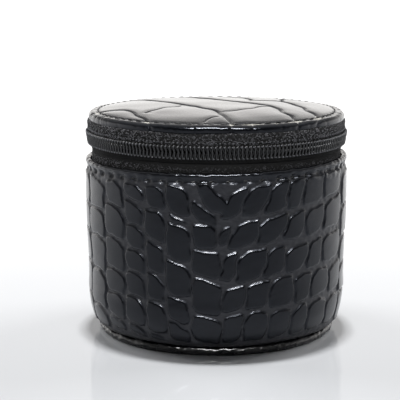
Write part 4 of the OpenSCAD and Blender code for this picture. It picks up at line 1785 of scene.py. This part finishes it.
class CASE_OT_slider(bpy.types.Operator):
    """Die-cast slider with its bridge, the forked pull, and the two end stops of the zip"""

    bl_idname = "case.slider"
    bl_label = "Slider, pull and stops"

    def execute(self, context):
        pressed_plate(
            "slider_front_plate", SLIDER_AT, PLATE_R + 0.05, (5.1, 3.7), 0.55, "slider",
            "slider_body", dome=0.3, lip=0.4, pinch=0.28,
        )
        pressed_plate(
            "slider_back_plate", SLIDER_AT, TAPE_R - 0.4, (5.1, 3.6), 0.8, "slider", pinch=0.28
        )
        pressed_plate("slider_web", SLIDER_AT, PLATE_R - 0.4, (1.6, 0.14), 3.0, "slider")
        self.bridge()
        self.pull()
        mid_z = CHAIN_Z - 1.8
        for name, node, at in (
            ("zip_start_stop", "zip_top_stop", CHAIN_FROM + STOP_ANGLE / 2),
            ("zip_finish_stop", "zip_bottom_stop", CHAIN_TO - STOP_ANGLE / 2),
        ):
            pressed_plate(
                name, at, tape_face(mid_z) + 1.35, (0.58, 1.3), 1.3, "case", node,
                dome=0.1, mid_z=mid_z,
            )
        return {"FINISHED"}

    def bridge(self):
        """A bar of rounded section, swept along an arch that stands on the front plate."""
        t = np.linspace(0, np.pi, 30)
        path = np.stack([PLATE_R - 0.1 + 2.4 * np.sin(t) ** 0.5, -2.75 * np.cos(t)], -1)
        n = normals_of(path)
        section = superellipse(np.linspace(0, 2 * np.pi, 14, endpoint=False), 3.0)
        flat = path[:, None, :] + 0.36 * section[None, :, :1] * n[:, None, :]
        rise = CHAIN_Z + 0.75 * section[None, :, 1] + 0 * t[:, None]
        points = spun(np.concatenate([flat, rise[..., None]], -1), SLIDER_AT)
        piece = make_surface("slider_bridge", points, close_cols=True, caps=("first", "last"))
        settle(piece, "slider", "black_metal")

    def pull(self):
        """A forked tab: rows run from its outline to the outline of the window between the
        fork's arms, over the face and back behind it, with rounded edges and a sunk panel."""
        half = smooth_curve(
            [(-0.5, 0.0), (-0.4, 1.7), (0.3, 2.3), (3.2, 2.35), (5.2, 2.8), (8.0, 3.15), (11.5, 3.2),
             (14.4, 2.5), (15.7, 1.1), (16.0, 0.0)],
            8,
        )
        outer = evenly(np.vstack([half, half[-2::-1] * [1, -1]]), 0.36)[:-1]
        centre = np.array([2.25, 0.0])
        aim = np.arctan2(*(outer - centre).T[::-1])
        inner = centre + superellipse(aim, 4.0) * [1.75, 1.05]
        gap = np.hypot(*(inner - outer).T)[:, None]
        sunk = 0.14 * smoothstep(2.5, 4.0, gap[:, 0])
        steps = [(0.0, 0.0), (0.04, 0.28), (0.16, 0.43), (0.36, 0.5), (0.8, 0.5), (1.0, 0.5)]
        rows, heights = [], []
        for here, there in ((outer, inner), (inner, outer)):
            found = []
            for k, (inset, height) in enumerate(steps):
                place = here + (there - here) * np.minimum(inset / gap, 0.5)
                found.append((place, height - (sunk if k == 5 else 0 * sunk)))
            found = found if here is outer else found[::-1]
            rows += [f[0] for f in found]
            heights += [f[1] for f in found]
        rows += rows[-2:0:-1]
        heights += [-h for h in heights[-2:0:-1]]
        rows, heights = np.array(rows), np.array(heights)
        local = np.stack([PIVOT_R + heights, rows[..., 0], CHAIN_Z + rows[..., 1]], -1)
        points = spun(local, SLIDER_AT)
        piece = make_surface("pull_tab", points, close_rows=True, close_cols=True)
        settle(piece, "pull", "black_metal", "slider_pull")


class CASE_OT_kept_nodes(bpy.types.Operator):
    """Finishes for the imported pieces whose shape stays: boards and wadding"""

    bl_idname = "case.kept_nodes"
    bl_label = "Boards and wadding"

    def execute(self, context):
        slots = {s["node"]: s["material_slot"] for s in frame["record"]["subparts"]}
        for name, piece in frame["nodes"].items():
            if piece.hide_render:
                continue
            piece.data.materials.clear()
            piece.data.materials.append(finish_with(slots[name]))
        return {"FINISHED"}


# ---------------------------------------------------------------------------------------------
# Stage


# Lamps: name, place, the point it looks at, width and height in metres, power in watts, and the
# kind of light that it leaves out.
LAMPS = (
    ("overhead_softbox", (0.0, 0.17, 2.8), (0.0, 0.0, 0.04), (0.24, 0.13), 56.0, "glossy"),
    ("left_softbox", (-1.5, 1.0, 0.95), (0.0, 0.0, 0.02), (1.2, 0.8), 20.0, "glossy"),
    ("right_softbox", (1.5, 1.0, 0.95), (0.0, 0.0, 0.02), (1.2, 0.8), 20.0, "glossy"),
    ("glint_strip", (0.0, -0.75, 0.83), (0.0, -0.05, 0.05), (0.8, 0.085), 30.0, "diffuse"),
)


def area_lamp(name, place, aim, size, power, left_out):
    """A rectangular soft lamp that looks at a point and isn't seen by the camera."""
    lamp = bpy.data.lights.new(name, "AREA")
    lamp.shape = "RECTANGLE"
    lamp.size, lamp.size_y = size
    lamp.energy = power
    made = bpy.data.objects.new(name, lamp)
    made.location = place
    made.rotation_euler = (Vector(aim) - Vector(place)).to_track_quat("-Z", "Y").to_euler()
    made.visible_camera = False
    setattr(made, f"visible_{left_out}", False)
    bpy.context.scene.collection.objects.link(made)
    return made


def studio_world():
    """A white room, dim on the camera's side. Camera rays see plain white; what mirrors the room
    sees white low down behind and beside the case, a dark band further up and a paler ceiling;
    diffuse light from it is faint, because the lamps do the lighting."""
    world = bpy.data.worlds.new("studio")
    world.use_nodes = True
    tree = world.node_tree
    tree.nodes.clear()
    direction = add_node(tree, "ShaderNodeTexCoord").outputs["Generated"]
    split = add_node(tree, "ShaderNodeSeparateXYZ", {"Vector": direction})
    shades = (
        (0.0, "#fffefc"),
        (0.175, "#fffcf9"),
        (0.215, "#d8d5d2"),
        (0.26, "#b5b3b1"),
        (0.36, "#868483"),
        (0.45, "#7c7b7a"),
        (0.6, "#9c9b9a"),
        (0.85, "#d0cfce"),
    )
    height = add_node(
        tree,
        "ShaderNodeValToRGB",
        {"Fac": split.outputs["Z"]},
        stops=[(place, linear(colour)) for place, colour in shades],
    )
    side = add_node(
        tree,
        "ShaderNodeMapRange",
        {
            "Value": split.outputs["Y"],
            "From Min": -0.82,
            "From Max": 0.1,
            "To Min": 0.08,
            "To Max": 1.55,
        },
        interpolation_type="SMOOTHSTEP",
    )
    path = add_node(tree, "ShaderNodeLightPath").outputs
    mirrored = add_node(
        tree,
        "ShaderNodeMath",
        {0: path["Is Glossy Ray"], 1: path["Is Transmission Ray"]},
        operation="MAXIMUM",
    )
    lights = [
        add_node(tree, "ShaderNodeBackground", {"Color": colour, "Strength": strength}).outputs[0]
        for colour, strength in (
            (grey(1.0), 0.05),
            (height.outputs["Color"], side.outputs["Result"]),
            (grey(1.0), 1.0),
        )
    ]
    lit = add_node(
        tree, "ShaderNodeMixShader", {0: mirrored.outputs["Value"], 1: lights[0], 2: lights[1]}
    )
    seen = add_node(
        tree, "ShaderNodeMixShader", {0: path["Is Camera Ray"], 1: lit.outputs[0], 2: lights[2]}
    )
    add_node(tree, "ShaderNodeOutputWorld", {"Surface": seen.outputs[0]})
    return world


class CASE_OT_stage(bpy.types.Operator):
    """White table, soft lamps, white room and the camera"""

    bl_idname = "case.stage"
    bl_label = "Stage"

    def execute(self, context):
        scene, props = context.scene, context.scene.case_stage
        scene.view_settings.view_transform = "Standard"
        scene.world = studio_world()
        reach = 6.0 / MM
        corners = np.array([(-1, -1, 0), (1, -1, 0), (1, 1, 0), (-1, 1, 0)]) * reach
        table = make_piece("table", corners, [np.array([[0, 1, 2, 3]])], keep_facing=True)
        table.data.materials.append(finish_with("laminate"))
        lamps = {row[0]: area_lamp(*row) for row in LAMPS}
        # The strip puts glints on the leather alone, so the table is left out of its light.
        unlit = bpy.data.collections.new("not_lit_by_glint_strip")
        unlit.objects.link(table)
        unlit.collection_objects[0].light_linking.link_state = "EXCLUDE"
        lamps["glint_strip"].light_linking.receiver_collection = unlit
        camera = bpy.data.objects.new("camera", bpy.data.cameras.new("camera"))
        camera.location = props.camera_place
        camera.rotation_euler = (math.radians(90) - props.camera_pitch, 0, 0)
        camera.data.sensor_width = 36.0
        camera.data.lens = props.camera_lens
        camera.data.clip_start = 0.01
        camera.data.clip_end = 50.0
        scene.collection.objects.link(camera)
        scene.camera = camera
        return {"FINISHED"}


# ---------------------------------------------------------------------------------------------
# Panel, registration and run


PIECE_OPERATORS = (
    CASE_OT_wall_leather,
    CASE_OT_base_disc,
    CASE_OT_lid_leather,
    CASE_OT_stitching,
    CASE_OT_zip_tapes,
    CASE_OT_zip_coils,
    CASE_OT_hinge,
    CASE_OT_lining,
    CASE_OT_ring_rolls,
    CASE_OT_slider,
    CASE_OT_kept_nodes,
    CASE_OT_stage,
)
GROUPS = {
    "case_leather": CASE_PG_leather,
    "case_zip": CASE_PG_zip,
    "case_lining": CASE_PG_lining,
    "case_stage": CASE_PG_stage,
}


class CASE_PT_panel(bpy.types.Panel):
    """Lists the pieces of the jewellery case"""

    bl_idname = "CASE_PT_panel"
    bl_label = "Jewellery case"
    bl_space_type = "VIEW_3D"
    bl_region_type = "UI"
    bl_category = "Jewellery case"

    def draw(self, context):
        for group in GROUPS:
            box = self.layout.box()
            settings = getattr(context.scene, group)
            for key in settings.__annotations__:
                box.prop(settings, key)
        for operator in PIECE_OPERATORS:
            self.layout.operator(operator.bl_idname)


CLASSES = (*GROUPS.values(), *PIECE_OPERATORS, CASE_PT_panel)


def register():
    """Registers the classes and hangs the settings on the scene."""
    for cls in CLASSES:
        bpy.utils.register_class(cls)
    for name, cls in GROUPS.items():
        setattr(bpy.types.Scene, name, PointerProperty(type=cls))


def unregister():
    """Takes the settings and classes away again."""
    for name in GROUPS:
        delattr(bpy.types.Scene, name)
    for cls in reversed(CLASSES):
        bpy.utils.unregister_class(cls)


def main():
    register()
    for operator in PIECE_OPERATORS:
        group, name = operator.bl_idname.split(".")
        getattr(getattr(bpy.ops, group), name)()


if __name__ == "__main__":
    main()
